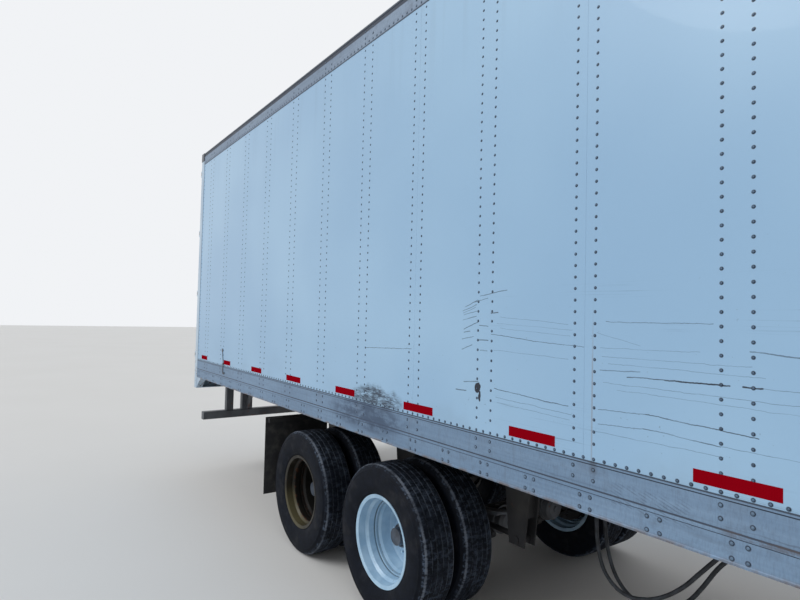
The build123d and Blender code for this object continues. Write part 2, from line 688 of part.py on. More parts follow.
def hanger(station, half_top, low, bridge_low, pins):
    """Two tapered side plates under the frame, the bridge that bears on the spring, and its pins."""
    x = at(station)
    half_low = half_top * 0.6
    y0, y1 = FRAME_MID - SPRING_WIDTH / 2 - HANGER_PLATE - 4, FRAME_MID + SPRING_WIDTH / 2 + HANGER_PLATE + 4
    face = outline([(x - half_top, FRAME_LOW), (x + half_top, FRAME_LOW), (x + half_low, low), (x - half_low, low)])
    side_a = along_y(face, y0, y0 + HANGER_PLATE)
    side_b = along_y(face, y1 - HANGER_PLATE, y1)
    bridge = block(x - half_low, x + half_low, y0 + HANGER_PLATE, y1 - HANGER_PLATE, bridge_low, FRAME_LOW)
    pivots = [rod_y(x, y0 - 8, y1 + 8, z, HANGER_PIN) for z in pins]
    return fused([side_a, side_b, bridge] + pivots)


def equalizer():
    """Rocker at the middle hanger that bears on the ends of both springs."""
    x = at(TANDEM_CENTRE)
    low = SPRING_TOP + SLIDE_GAP
    face = outline([
        (x - 190, low), (x - 190, low + 40), (x, EQUALIZER_TOP), (x + 190, low + 40), (x + 190, low),
        (x + 60, low), (x + 40, low - 12), (x - 40, low - 12), (x - 60, low),
    ])
    rocker = along_y(face, FRAME_MID - SPRING_WIDTH / 2, FRAME_MID + SPRING_WIDTH / 2)
    return rocker - rod_y(x, FRAME_MID - 60, FRAME_MID + 60, EQUALIZER_PIN_Z, HANGER_PIN + HANGER_PIN_RUN)


def torque_arm(axle_station, hanger_station):
    """Rod from a hanger's foot back to the face of the axle seat."""
    x0, x1 = at(axle_station) + SEAT_HALF, at(hanger_station)
    eye_half = SPRING_WIDTH / 2
    rod = rod_x(x0, x1, FRAME_MID, ARM_Z, ARM_RADIUS)
    eye = rod_y(x1, FRAME_MID - eye_half, FRAME_MID + eye_half, ARM_Z, HANGER_PIN + 12)
    pad = block(x0, x0 + 16, FRAME_MID - 40, FRAME_MID + 40, ARM_Z - 26, ARM_Z + 26)
    return fused([rod, eye, pad]) - rod_y(x1, FRAME_MID - eye_half - 1, FRAME_MID + eye_half + 1, ARM_Z,
                                          HANGER_PIN + HANGER_PIN_RUN)


def wheel_end():
    """Spindle and dust shield at one end of an axle."""
    shoulder, shield = DUAL_CENTRE - DRUM_BACK, DUAL_CENTRE - SHIELD_BACK
    return [
        rod_y(0, 0, shoulder, AXLE_Z, AXLE_TUBE), rod_y(0, shoulder, DUAL_CENTRE + SPINDLE_REACH, AXLE_Z, SPINDLE),
        rod_y(0, shield, shield + SHIELD_THICK, AXLE_Z, DRUM_RADIUS - SHIELD_THICK),
    ]


def axle(x):
    """Round tube axle with spring seats, spindles and dust shields."""
    seat = SPRING_WIDTH / 2 + HANGER_PLATE
    half = wheel_end() + [block(-SEAT_HALF, SEAT_HALF, FRAME_MID - seat, FRAME_MID + seat, AXLE_Z, LEAF_LOW)]
    whole = fused(both_sides(half))
    return Pos(x, 0, 0) * whole


CHAMBER_Y = 262.0
CHAMBER_Z = 535.0
CHAMBER_RADIUS = 104.0
CHAMBER_FRONT = 287.0
CHAMBER_LENGTH = 165.0
CAM_X = 95.0
CAM_Z = 395.0
CAM_RADIUS = 19.0
CAM_HOLD_BACK = 340.0
CAM_HOLD_THICK = 16.0


def brake_chamber(axle_x):
    """Spring brake chamber ahead of the axle, domed at both ends with a clamp ring between."""
    x1 = axle_x + CHAMBER_FRONT
    x0 = x1 - CHAMBER_LENGTH
    mid = (x0 + x1) / 2
    profile = Polyline(
        (x0, 0), (x0, 78), (x0 + 12, 88), (mid - 10, 92), (mid - 10, CHAMBER_RADIUS), (mid + 10, CHAMBER_RADIUS),
        (mid + 10, 92), (x1 - 28, 88), (x1 - 8, 66), (x1 - 8, 26), (x1, 22), (x1, 0), close=True)
    body = revolve(make_face(profile), Axis.X)
    return Pos(0, CHAMBER_Y, CHAMBER_Z) * body


def chamber_bracket(axle_x):
    """Plate from the axle tube that carries the chamber, with the camshaft and its slack arm."""
    x0 = axle_x + CHAMBER_FRONT - CHAMBER_LENGTH
    plate = block(x0 - 8, x0, CHAMBER_Y - 70, CHAMBER_Y + 70, AXLE_Z - 60, CHAMBER_Z + 70)
    arms = [block(axle_x, x0, y - 5, y + 5, AXLE_Z - 40, AXLE_Z + 40) for y in (CHAMBER_Y - 60, CHAMBER_Y + 60)]
    shaft = rod_y(axle_x + CAM_X, CHAMBER_Y - 30, DUAL_CENTRE - SHIELD_BACK, CAM_Z, CAM_RADIUS)
    hub = rod_y(axle_x + CAM_X, CHAMBER_Y - 22, CHAMBER_Y + 22, CAM_Z, 32)
    arm = block(axle_x + CAM_X - 12, axle_x + CAM_X + 12, CHAMBER_Y - 10, CHAMBER_Y + 10, CAM_Z, CHAMBER_Z)
    rod = rod_x(axle_x + CAM_X - 12, x0, CHAMBER_Y, CHAMBER_Z, 9)
    hold_y = DUAL_CENTRE - CAM_HOLD_BACK
    tube_hold = block(axle_x - 10, axle_x + CAM_X + CAM_RADIUS, hold_y, hold_y + CAM_HOLD_THICK, CAM_Z - 30, AXLE_Z)
    return fused([plate, arms[0], arms[1], shaft, hub, arm, rod, tube_hold]) - rod_y(
        axle_x, 0, DUAL_CENTRE - DRUM_BACK, AXLE_Z, AXLE_TUBE)


def air_tank():
    """Air tank strapped behind the sliding frame's front cross channel."""
    tank = rod_y(TANK_X, -TANK_HALF, TANK_HALF, TANK_Z, TANK_RADIUS)
    return fillet(tank.edges().filter_by(GeomType.CIRCLE), 40)


def mud_flap():
    """Rubber flap behind the rear wheels."""
    return block(at(FLAP_X), at(FLAP_X + FLAP_THICK), FLAP_IN, FLAP_OUT, FLAP_LOW, FLAP_TOP)


# Wheels


def tyre(y):
    """Road tyre, its tread face plain."""
    half = TYRE_WIDTH / 2
    profile = make_face(Polyline(
        (RIM_SEAT + 0.3, y - 103), (303.5, y - 109.5), (318, y - 122), (360, y - 134), (415, y - half),
        (465, y - 134), (494, y - 118), (TYRE_RADIUS, y - 96), (TYRE_RADIUS, y + 96), (494, y + 118),
        (465, y + 134), (415, y + half), (360, y + 134), (318, y + 122), (303.5, y + 109.5),
        (RIM_SEAT + 0.3, y + 103), close=True))
    return revolve(profile, Axis.Y)


def rim_section(sign):
    """Steel rim and its dished disc for one tyre of the pair; sign is 1 for the outer one."""
    centre = DUAL_CENTRE + sign * DUAL_SPACING / 2
    half = RIM_WIDTH / 2
    outer, inner = centre + sign * half, centre - sign * half
    seat_o, seat_i = centre + sign * (half - 12), centre - sign * (half - 12)
    rim = make_face(Polyline(
        (RIM_FLANGE, outer), (RIM_FLANGE, outer - sign * 5), (RIM_SEAT, seat_o), (283, centre + sign * 54),
        (267, centre + sign * 38), (262, centre), (270, centre - sign * 60), (RIM_SEAT, seat_i),
        (RIM_FLANGE, inner + sign * 5), (RIM_FLANGE, inner), (RIM_SEAT - 8, seat_i - sign * 6),
        (262, centre - sign * 62), (254, centre), (256.5, centre + sign * 38), (273.5, centre + sign * 56),
        (RIM_SEAT - 8, seat_o + sign * 6), close=True))
    face, plate = DUAL_CENTRE, DISC_PLATE
    bore = BOLT_FACE_RADIUS + 0.5
    disc = make_face(Polyline(
        (bore, face), (199, face), (227, face + sign * 42), (241, face + sign * 108), (255, centre - sign * 36),
        (258.5, centre - sign * 14), (243.5, centre - sign * 14), (241.5, centre - sign * 33),
        (230.5, face + sign * 112), (216.5, face + sign * 46), (193, face + sign * plate),
        (bore, face + sign * plate), close=True))
    return [revolve(rim, Axis.Y), revolve(disc, Axis.Y)]


def hub_and_drum():
    """Hub with its cap and the brake drum behind the discs."""
    back, middle = DUAL_CENTRE - DRUM_BACK, DUAL_CENTRE
    face = middle - DISC_PLATE
    bore_end = middle + SPINDLE_REACH + SPINDLE_END_GAP
    profile = make_face(Polyline(
        (HUB_BORE, middle - HUB_BACK), (84, middle - HUB_BACK), (92, face - 34), (172, face - 30),
        (172, face - 13), (205, face - 13), (209.5, face - 22), (209.5, back), (DRUM_RADIUS, back),
        (DRUM_RADIUS, face - 12), (214, face), (BOLT_FACE_RADIUS, face), (BOLT_FACE_RADIUS, middle + 16),
        (96, middle + 22), (84, middle + 34), (80, middle + 100), (74, bore_end + 4), (62, bore_end + 8),
        (HUB_CAP_RADIUS, middle + HUB_CAP_REACH - 4), (0, middle + HUB_CAP_REACH), (0, bore_end),
        (HUB_BORE, bore_end), close=True))
    return revolve(profile, Axis.Y)


def wheel():
    """Two disc wheels back to back on their hub, with hand holes through both discs."""
    whole = fused([hub_and_drum()] + rim_section(1) + rim_section(-1))
    holes = []
    for index in range(HAND_HOLES):
        turn = Rot(0, HAND_HOLE_TURN + 360 / HAND_HOLES * index, 0)
        reach = DUAL_SPACING / 2 - HAND_HOLE_STOP
        holes.append(turn * rod_y(0, DUAL_CENTRE + 2, DUAL_CENTRE + reach, HAND_HOLE_PLACE, HAND_HOLE_RADIUS))
        holes.append(turn * rod_y(0, DUAL_CENTRE - reach, DUAL_CENTRE - DISC_PLATE - 2, HAND_HOLE_PLACE,
                                  HAND_HOLE_RADIUS))
    return whole - holes


# Front end

LEG_X = at(min(cross_stations(), key=lambda station: abs(station - (LENGTH - LEG_BACK))))


def upper_coupler():
    """Coupler plate with its raised lead-in edge and the frame of channels over it."""
    x_pin = X_NOSE - KINGPIN_BACK
    x0, x1 = x_pin - COUPLER_LENGTH / 2, x_pin + COUPLER_LENGTH / 2
    half = COUPLER_WIDTH / 2
    low = RAIL_LOW - COUPLER_PLATE
    face = outline([
        (x0, low), (x1 - 120, low), (x1, low + 40), (x1, low + 40 + COUPLER_PLATE),
        (x1 - 122, RAIL_LOW), (x0, RAIL_LOW),
    ])
    pieces = [along_y(face, -half, half)]
    for y in (-half + 50, -half / 3, half / 3, half - 50):
        pieces.append(block(x0, x1 - 122, y - 6, y + 6, RAIL_LOW, FLOOR_UNDER))
    for x in (x0 + 30, x_pin - 300, x_pin + 300, x1 - 150):
        pieces.append(block(x - 6, x + 6, -SKIN_Y, SKIN_Y, RAIL_LOW, FLOOR_UNDER))
    return fused(pieces) - rod_z(x_pin, 0, low - 1, RAIL_LOW + 1, 37.2)


def kingpin():
    """Kingpin with its collar, neck and lower flange, hung in the coupler plate by its head."""
    low = RAIL_LOW - COUPLER_PLATE
    profile = make_face(Polyline(
        (0, low - 84), (33, low - 84), (35.7, low - 80), (35.7, low - 70), (25.4, low - 66), (25.4, low - 36),
        (36.5, low - 34), (36.5, RAIL_LOW), (90, RAIL_LOW), (90, RAIL_LOW + 14), (0, RAIL_LOW + 14), close=True))
    pin = revolve(make_face(Plane.XZ * profile.wire()), Axis.Z)
    return Pos(X_NOSE - KINGPIN_BACK, 0, 0) * pin


LEG_CLOSED = 200.0
LEG_RUN = 1.0
RAM_LOW = 40.0
SHOE_PLATE = 14.0
SHOE_CORNER = 40.0
EAR_LONG = 132.0
EAR_WIDE = 60.0
EAR_TOP = 62.0


def leg_housing():
    """Square outer housing of a landing leg, open below."""
    half = LEG_OUTER / 2
    housing = block(LEG_X - half, LEG_X + half, LEG_Y - half, LEG_Y + half, LEG_HOUSING_LOW, RAIL_LOW)
    bore = LEG_INNER / 2 + LEG_RUN
    return housing - block(LEG_X - bore, LEG_X + bore, LEG_Y - bore, LEG_Y + bore, LEG_HOUSING_LOW - 1,
                           RAIL_LOW - LEG_CLOSED)


def leg_ram():
    """Inner ram of a landing leg on its sand shoe."""
    half = LEG_INNER / 2
    ram = block(LEG_X - half, LEG_X + half, LEG_Y - half, LEG_Y + half, RAM_LOW, RAIL_LOW - LEG_CLOSED)
    shoe = block(LEG_X - SHOE / 2, LEG_X + SHOE / 2, LEG_Y - SHOE / 2, LEG_Y + SHOE / 2, 0, SHOE_PLATE)
    shoe = chamfer(shoe.edges().filter_by(Axis.Z), SHOE_CORNER)
    ears = block(LEG_X - EAR_LONG / 2, LEG_X + EAR_LONG / 2, LEG_Y - EAR_WIDE / 2, LEG_Y + EAR_WIDE / 2,
                 SHOE_PLATE, EAR_TOP)
    return fused([ram, shoe, ears])


TIE_LOW = 740.0
TIE_TALL = 90.0
TIE_BACK = 20.0
TIE_FRONT = 60.0
SLOPE_LOW = 780.0
SLOPE_TALL = 70.0
DRAG_LOW = 700.0
DRAG_TALL = 80.0
DRAG_RUN = 880.0
DRAG_WIDE = 40.0


def landing_braces():
    """Cross tie, sloping ties to the floor frame, and drag braces to the rear."""
    half = LEG_OUTER / 2
    inner = LEG_Y - half
    tie = block(LEG_X - TIE_BACK, LEG_X + TIE_FRONT, -inner, inner, TIE_LOW, TIE_LOW + TIE_TALL)
    slope = outline([
        (inner, SLOPE_LOW), (inner, SLOPE_LOW + SLOPE_TALL), (SLOPE_TALL, RAIL_LOW), (-SLOPE_TALL, RAIL_LOW),
    ])
    slope_bar = along_x(slope, LEG_X + TIE_BACK, LEG_X + TIE_FRONT)
    drag = outline([
        (LEG_X - half, DRAG_LOW), (LEG_X - half, DRAG_LOW + DRAG_TALL), (LEG_X - DRAG_RUN, RAIL_LOW),
        (LEG_X - DRAG_RUN - DRAG_TALL, RAIL_LOW),
    ])
    drag_bar = along_y(drag, LEG_Y - DRAG_WIDE / 2, LEG_Y + DRAG_WIDE / 2)
    return [fused([tie, slope_bar, other_side(slope_bar)]), drag_bar, other_side(drag_bar)]


CRANK_Z = 1080.0
CRANK_ROD = 13.0
CRANK_OUT = 230.0
CRANK_ARM = 320.0
CRANK_GRIP = 120.0
CROSS_SHAFT = 14.0
CROSS_SHAFT_BACK = 24.0
GEARBOX_HALF = 80.0
GEARBOX_TALL = 180.0
GEARBOX_WIDE = 70.0
GEARBOX_ROUND = 30.0


def landing_drive():
    """Cross shaft between the legs, and the gearbox on the road-side leg with its stowed crank."""
    inner, outer = LEG_Y - LEG_OUTER / 2, LEG_Y + LEG_OUTER / 2
    turn, end = outer + CRANK_OUT, LEG_X + CRANK_ARM
    cross_shaft = rod_y(LEG_X - CROSS_SHAFT_BACK, -inner, inner, CRANK_Z, CROSS_SHAFT)
    box = block(LEG_X - GEARBOX_HALF, LEG_X + GEARBOX_HALF, outer, outer + GEARBOX_WIDE,
                CRANK_Z - GEARBOX_TALL / 2, CRANK_Z + GEARBOX_TALL / 2)
    box = fillet(box.edges().filter_by(Axis.Y), GEARBOX_ROUND)
    shaft = rod_y(LEG_X, outer + GEARBOX_WIDE / 2, turn + CRANK_ROD, CRANK_Z, CRANK_ROD)
    arm = rod_x(LEG_X, end + CRANK_ROD, turn, CRANK_Z, CRANK_ROD - 2)
    grip = rod_y(end, turn, turn + CRANK_GRIP, CRANK_Z, CRANK_ROD)
    return [cross_shaft, fused([box, shaft, arm, grip])]


NOSE_FACE = X_NOSE - RAIL_WEB
SOCKET_Z = 1560.0
SOCKET_RADIUS = 32.0
SOCKET_BORE = 24.0
SOCKET_DEEP = 20.0
GLADHAND_Y = 240.0
GLADHAND_RADIUS = 26.0


def nose_box():
    """Electric box with its round socket on the front wall."""
    front = X_NOSE + NOSE_REACH
    box = block(NOSE_FACE, front - 30, -90, 90, SOCKET_Z - 80, SOCKET_Z + 80)
    box = fillet(box.edges().filter_by(Axis.X), 18)
    socket = rod_x(front - 30, front, 0, SOCKET_Z, SOCKET_RADIUS)
    return fused([box, socket]) - rod_x(front - SOCKET_DEEP, front + 1, 0, SOCKET_Z, SOCKET_BORE)


def gladhand():
    """Air coupling on its bracket."""
    front = X_NOSE + NOSE_REACH - GLADHAND_RADIUS
    plate = block(NOSE_FACE, NOSE_FACE + 6, GLADHAND_Y - 50, GLADHAND_Y + 50, SOCKET_Z - 60, SOCKET_Z + 40)
    neck = rod_x(NOSE_FACE + 6, front, GLADHAND_Y, SOCKET_Z, 16)
    hand = rod_z(front, GLADHAND_Y, SOCKET_Z - 30, SOCKET_Z + 16, GLADHAND_RADIUS)
    return fused([plate, neck, hand])


MARKER = 22.0
MARKER_HALF = 50.0
MARKER_TALL = 40.0
MARKER_EDGE = 8.0
MARKER_INSET = 260.0
MARKER_PITCH = 160.0
AMBER_DROP = 90.0
RED_RISE = 65.0


def amber_markers():
    """Clearance lamps at the top corners of the nose."""
    low = ROOF_UNDER - AMBER_DROP
    lamps = []
    for y in (-HALF + MARKER_INSET, HALF - MARKER_INSET):
        lamp = block(X_NOSE, X_NOSE + MARKER, y - MARKER_HALF, y + MARKER_HALF, low, low + MARKER_TALL)
        lamps.append(chamfer(lamp.faces().sort_by(Axis.X)[-1].edges(), MARKER_EDGE))
    return lamps


def red_markers():
    """Three lamps in the middle of the header and one at each end."""
    low = HEADER_LOW + RED_RISE
    end = HALF - MARKER_INSET
    lamps = []
    for y in (-end, -MARKER_PITCH, 0, MARKER_PITCH, end):
        lamp = block(X_REAR - MARKER, X_REAR, y - MARKER_HALF, y + MARKER_HALF, low, low + MARKER_TALL)
        lamps.append(chamfer(lamp.faces().sort_by(Axis.X)[0].edges(), MARKER_EDGE))
    return lamps


# Air hoses between the body and the sliding frame

HOSE_RADIUS = 12.0
HOSE_BEND_SHARE = 0.45

# Route points as (station, y, z), from the fitting on the body to the bracket on the sliding frame
SERVICE_ROUTE = [
    (6260, -200, 1150), (6260, -200, 1050), (6180, -205, 940), (6050, -200, 835), (5930, -200, 690),
    (5800, -198, 525), (5640, -200, 400), (5460, -202, 350), (5320, -200, 430), (5270, -202, 590),
    (5262, -204, 745), (5258, -200, 875), (5258, -200, 999.7),
]
EMERGENCY_ROUTE = [
    (6260, -120, 1150), (6260, -120, 1060), (6190, -125, 950), (6070, -120, 815), (5960, -112, 690),
    (5885, -108, 560), (5790, -105, 420), (5640, -104, 310), (5460, -110, 300), (5340, -114, 400),
    (5285, -118, 560), (5266, -122, 730), (5258, -120, 870), (5258, -120, 999.7),
]
HOSE_START_Z = 1150.0
HOSE_END_Z = 1000.0
HOSE_START = SERVICE_ROUTE[0][0]
HOSE_END = SERVICE_ROUTE[-1][0]
HOSE_LANES = (SERVICE_ROUTE[0][1], EMERGENCY_ROUTE[0][1])
PIPE_RADIUS = 8.0


def air_line(y):
    """Pipe along the floor frame from the coupler to its block over a hose."""
    fitting = block(at(HOSE_START - 30), at(HOSE_START + 30), y - 28, y + 28, HOSE_START_Z, RAIL_LOW)
    pipe_z = RAIL_LOW - PIPE_RADIUS - SLIDE_GAP
    pipe = rod_x(at(HOSE_START + 20), X_NOSE - KINGPIN_BACK - COUPLER_LENGTH / 2, y, pipe_z, PIPE_RADIUS)
    return fitting + pipe


def hose_bracket():
    """Plate forward of the sliding frame's front channel, over the hoses' lower ends."""
    return block(FRAME_X0 + SLIDE_CROSS[-1] - 32, at(HOSE_END + 30), min(HOSE_LANES) - 40, max(HOSE_LANES) + 40,
                 HOSE_END_Z, HOSE_END_Z + FRAME_PLATE)


def hose(route, radius):
    """A hanging hose: straight runs joined by arcs as large as the runs allow."""
    points = [Vector(at(station), y, z) for station, y, z in route]
    runs = [b - a for a, b in zip(points, points[1:])]
    bends = []
    for before, after in zip(runs, runs[1:]):
        turn = math.radians(before.get_angle(after))
        bends.append(HOSE_BEND_SHARE * min(before.length, after.length) / math.tan(turn / 2))
    print("hose bends", [round(bend) for bend in bends])
    line = FilletPolyline(*points, radius=bends)
    circle = Plane(origin=points[0], z_dir=runs[0]) * Circle(radius)
    tube = sweep(circle, path=line)
    share = tube.volume / (math.pi * radius**2 * line.length)
    print("hose length", round(line.length), "volume share", round(share, 4))
    return tube


def main():
    os.makedirs("parts", exist_ok=True)
    save("floor_boards", floor_boards())
    save("cross_members", [cross_member(at(station)) for station in cross_stations()])
    save("bottom_rails", both_sides([bottom_rail()]))
    save("top_rails", both_sides([top_rail()]))
    save("side_panels", both_sides(side_sheets()))
    save("roof_bows", roof_bows())
    save("roof_sheet", [roof_sheet()])
    save("front_corner_posts", both_sides([front_corner()]))
    save("front_panels", front_panels())
    save("front_rails", front_rails())
    save("rear_posts", both_sides([rear_post()]))
    save("rear_header", [rear_header()])
    save("rear_sill", [rear_sill()])
    save("rear_guard", [rear_guard()])
    save("dock_bumpers", both_sides([dock_bumper()]))
    save("rear_lamps", [rear_lamp(side * y) for y in LAMP_PLACES for side in (-1, 1)] + red_markers())
    save("marker_lamps_amber", amber_markers())
    save("door_holdbacks", both_sides([holdback()]))
    for side, turn in (("left", lambda shape: shape), ("right", other_side)):
        save(f"door_{side}", [turn(door_panel())])
        save(f"door_hardware_{side}", [turn(hinge_leaf(z)) for z in HINGE_HEIGHTS] + [turn(lock_gear())])
    save("slide_rails", both_sides([slide_rail()]))
    save("upper_coupler", [upper_coupler()])
    save("kingpin", [kingpin()])
    save("landing_legs", both_sides([leg_housing(), leg_ram()]))
    save("landing_braces", landing_braces())
    save("landing_drive", landing_drive())
    save("nose_fittings", [nose_box()] + both_sides([gladhand()]))
    save("slide_frame", [slide_frame()])
    end_bridge = SPRING_TOP + SLIDE_GAP
    foot = ARM_Z - HANGER_PIN - 14
    save("spring_hangers", both_sides([
        hanger(HANGER_FRONT, 110, foot, end_bridge, [ARM_Z]),
        hanger(TANDEM_CENTRE, 130, foot, EQUALIZER_TOP + 20, [ARM_Z, EQUALIZER_PIN_Z]),
        hanger(HANGER_REAR, 110, end_bridge - 60, end_bridge, [])]))
    save("leaf_springs", both_sides([leaf_spring(at(FRONT_AXLE)), leaf_spring(at(REAR_AXLE))]))
    save("equalizers", both_sides([equalizer()]))
    save("torque_arms", both_sides([
        torque_arm(FRONT_AXLE, HANGER_FRONT), torque_arm(REAR_AXLE, TANDEM_CENTRE)]))
    save("axles", [axle(at(FRONT_AXLE)), axle(at(REAR_AXLE))])
    save("brake_chambers", both_sides([brake_chamber(at(FRONT_AXLE)), brake_chamber(at(REAR_AXLE))]))
    save("brake_cams", both_sides([chamber_bracket(at(FRONT_AXLE)), chamber_bracket(at(REAR_AXLE))]))
    save("air_tank", [air_tank()])
    save("mud_flaps", both_sides([mud_flap()]))
    for row, station in (("front", FRONT_AXLE), ("rear", REAR_AXLE)):
        place = Pos(at(station), 0, AXLE_Z)
        for side, turn in (("left", lambda shape: shape), ("right", other_side)):
            tyres = [tyre(DUAL_CENTRE + step * DUAL_SPACING / 2) for step in (-1, 1)]
            save(f"tyres_{side}_{row}", [place * turn(piece) for piece in tyres])
            save(f"wheel_{side}_{row}", [place * turn(wheel())])
    save("air_lines", [air_line(y) for y in HOSE_LANES])
    save("hose_service", [hose(SERVICE_ROUTE, HOSE_RADIUS)])
    save("hose_emergency", [hose(EMERGENCY_ROUTE, HOSE_RADIUS)])


main()
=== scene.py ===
# %% [markdown]
# A worn dry van semi trailer: a long box of riveted white sheet on an aluminium rail, with a sliding tandem
# of twin wheels under its rear and landing legs under its nose. The solid parts come from the packed frame
# and keep their places. Blender adds what a solid model leaves out: every rivet, the road tread, the
# reflective strips, the two sagging air hoses and the finish of each surface.

# %% The frame
import json
import math

import bmesh
import bpy
from mathutils import Euler, Matrix, Vector


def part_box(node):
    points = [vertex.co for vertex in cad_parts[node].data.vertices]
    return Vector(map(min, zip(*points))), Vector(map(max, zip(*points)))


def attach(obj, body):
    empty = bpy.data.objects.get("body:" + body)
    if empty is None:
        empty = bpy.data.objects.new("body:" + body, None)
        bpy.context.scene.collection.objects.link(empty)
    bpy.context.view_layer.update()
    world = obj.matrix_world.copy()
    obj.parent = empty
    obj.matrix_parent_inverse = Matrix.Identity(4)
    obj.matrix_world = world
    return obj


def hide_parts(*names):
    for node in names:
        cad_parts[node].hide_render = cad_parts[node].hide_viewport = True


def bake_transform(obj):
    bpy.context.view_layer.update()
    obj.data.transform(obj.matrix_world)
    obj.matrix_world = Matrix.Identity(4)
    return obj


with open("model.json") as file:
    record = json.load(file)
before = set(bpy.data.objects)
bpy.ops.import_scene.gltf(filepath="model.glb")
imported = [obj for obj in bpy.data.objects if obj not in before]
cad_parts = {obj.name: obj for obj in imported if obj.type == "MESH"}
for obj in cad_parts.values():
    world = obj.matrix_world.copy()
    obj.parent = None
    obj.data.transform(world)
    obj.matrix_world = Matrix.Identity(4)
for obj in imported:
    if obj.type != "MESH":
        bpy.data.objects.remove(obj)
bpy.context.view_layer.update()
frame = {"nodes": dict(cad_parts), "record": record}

# %% [markdown]
# Places along the trailer are stations, distances ahead of the rear face, as a trailer shop writes them.
# The faces that the added pieces sit on are read from the frame, so nothing here repeats a size that the
# solids already hold.

# %% Places read from the frame
MM = 0.001
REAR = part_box("roof_sheet")[0].x
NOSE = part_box("roof_sheet")[1].x
ROOF_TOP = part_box("roof_sheet")[1].z
RAIL_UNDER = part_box("bottom_rails")[0].z
RAIL_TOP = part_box("bottom_rails")[1].z
RAIL_GROOVE = RAIL_UNDER + 0.100
TOP_RAIL_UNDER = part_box("top_rails")[0].z
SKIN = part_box("side_panels")[1].y
RAIL_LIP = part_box("bottom_rails")[1].y
RAIL_FACE = RAIL_LIP - 0.003
LINING = SKIN - 0.036
DUAL_CENTRE = sum(corner.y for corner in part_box("tyres_left_front")) / 2
POST_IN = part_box("rear_header")[1].y
CAP_UNDER = 4.015
CAP_BOLT_OUT = 0.114
POST_PITCH = 0.6096
POSTS = 26
FIRST_POST = 0.4572
CROSS_PITCH = 0.3048
FIRST_CROSS = 0.1634
CROSS_COUNT = 51
PAIR_HALF = 0.0508
CROSS_PAIR_HALF = 0.0254
ROW_PITCH = 0.0508
FOOT_ROW = RAIL_TOP + 0.009
FOOT_START = 0.1524
FOOT_COUNT = 311
LONE_ROW = 9.0
FIRST_ROW = RAIL_TOP + 0.073
UPPER_BAND_ROWS = (RAIL_TOP - 0.081, 0.046)
LOWER_BAND_ROWS = (RAIL_UNDER + 0.021, 0.051)
TOP_FOOT_ROW = TOP_RAIL_UNDER + 0.022
TOP_BAND_ROWS = (TOP_RAIL_UNDER + 0.060, 0.050)
AXLE_Z = 0.508


def at(station):
    """X of a station, a distance ahead of the rear face."""
    return REAR + station


print("rear face", round(REAR, 4), "nose", round(NOSE, 4), "rail top", round(RAIL_TOP, 3))

# %% [markdown]
# The photograph was taken from two metres off the right-hand wall, looking back along it with a wide lens.
# Fitting the even rivet columns and the level rail edges gave the camera's place and angles. Rotation from
# three axes is safer than Euler angles here, since the roll is small but shows on a long straight edge.

# %% Camera
EYE = Vector((-0.6605, -3.3245, 2.006))
YAW, PITCH, ROLL = (math.radians(angle) for angle in (35.53, 1.99, 1.33))
LENS = 24.75
FARTHEST = 400


def photo_camera():
    """The camera, standing where the photograph was taken."""
    ahead = Vector((-math.cos(YAW) * math.cos(PITCH), math.sin(YAW) * math.cos(PITCH), math.sin(PITCH)))
    level = Vector((math.sin(YAW), math.cos(YAW), 0))
    raised = level.cross(ahead)
    right = math.cos(ROLL) * level + math.sin(ROLL) * raised
    up = math.cos(ROLL) * raised - math.sin(ROLL) * level
    camera = bpy.data.objects.new("camera", bpy.data.cameras.new("camera"))
    camera.data.lens = LENS
    camera.data.clip_end = FARTHEST
    turn = Matrix((right, up, -ahead)).transposed().to_4x4()
    camera.matrix_world = Matrix.Translation(EYE) @ turn
    bpy.context.scene.collection.objects.link(camera)
    bpy.context.scene.camera = camera
    return camera


print("camera at", [round(value, 3) for value in photo_camera().location])

# %% [markdown]
# Two rubber air hoses hang between a fitting under the floor and the sliding tandem. Each is a NURBS spline
# through listed control points, which gives the slack, uneven loop of real hose. A curve can't bend across a
# joint, so the spline's own line is read back and a ring of vertices is swept along it.

# %% Hose routes
HOSE_RADIUS = 0.012
HOSE_SIDES = 14

# Control points as (station, y, z), from the fitting on the body to the bracket on the sliding frame
HOSE_ROUTES = {
    "hose_service": [
        (6.260, -0.200, 1.150), (6.260, -0.200, 1.050), (6.180, -0.205, 0.940), (6.050, -0.200, 0.835),
        (5.930, -0.200, 0.690), (5.800, -0.198, 0.525), (5.640, -0.200, 0.400), (5.460, -0.202, 0.350),
        (5.320, -0.200, 0.430), (5.270, -0.202, 0.590), (5.262, -0.204, 0.745), (5.258, -0.200, 0.875),
        (5.258, -0.200, 0.9997),
    ],
    "hose_emergency": [
        (6.260, -0.120, 1.150), (6.260, -0.120, 1.060), (6.190, -0.125, 0.950), (6.070, -0.120, 0.815),
        (5.960, -0.112, 0.690), (5.885, -0.108, 0.560), (5.790, -0.105, 0.420), (5.640, -0.104, 0.310),
        (5.460, -0.110, 0.300), (5.340, -0.114, 0.400), (5.285, -0.118, 0.560), (5.266, -0.122, 0.730),
        (5.258, -0.120, 0.870), (5.258, -0.120, 0.9997),
    ],
}
print({node: len(route) for node, route in HOSE_ROUTES.items()}, "control points")

# %% A tube along a spline


def linked(name, mesh, material=None):
    """An object with that mesh and material, in the scene."""
    if material:
        mesh.materials.append(material)
    piece = bpy.data.objects.new(name, mesh)
    bpy.context.scene.collection.objects.link(piece)
    return piece


def shaped(name, shape, material=None):
    """The same from an open mesh."""
    mesh = bpy.data.meshes.new(name)
    shape.to_mesh(mesh)
    return linked(name, mesh, material)


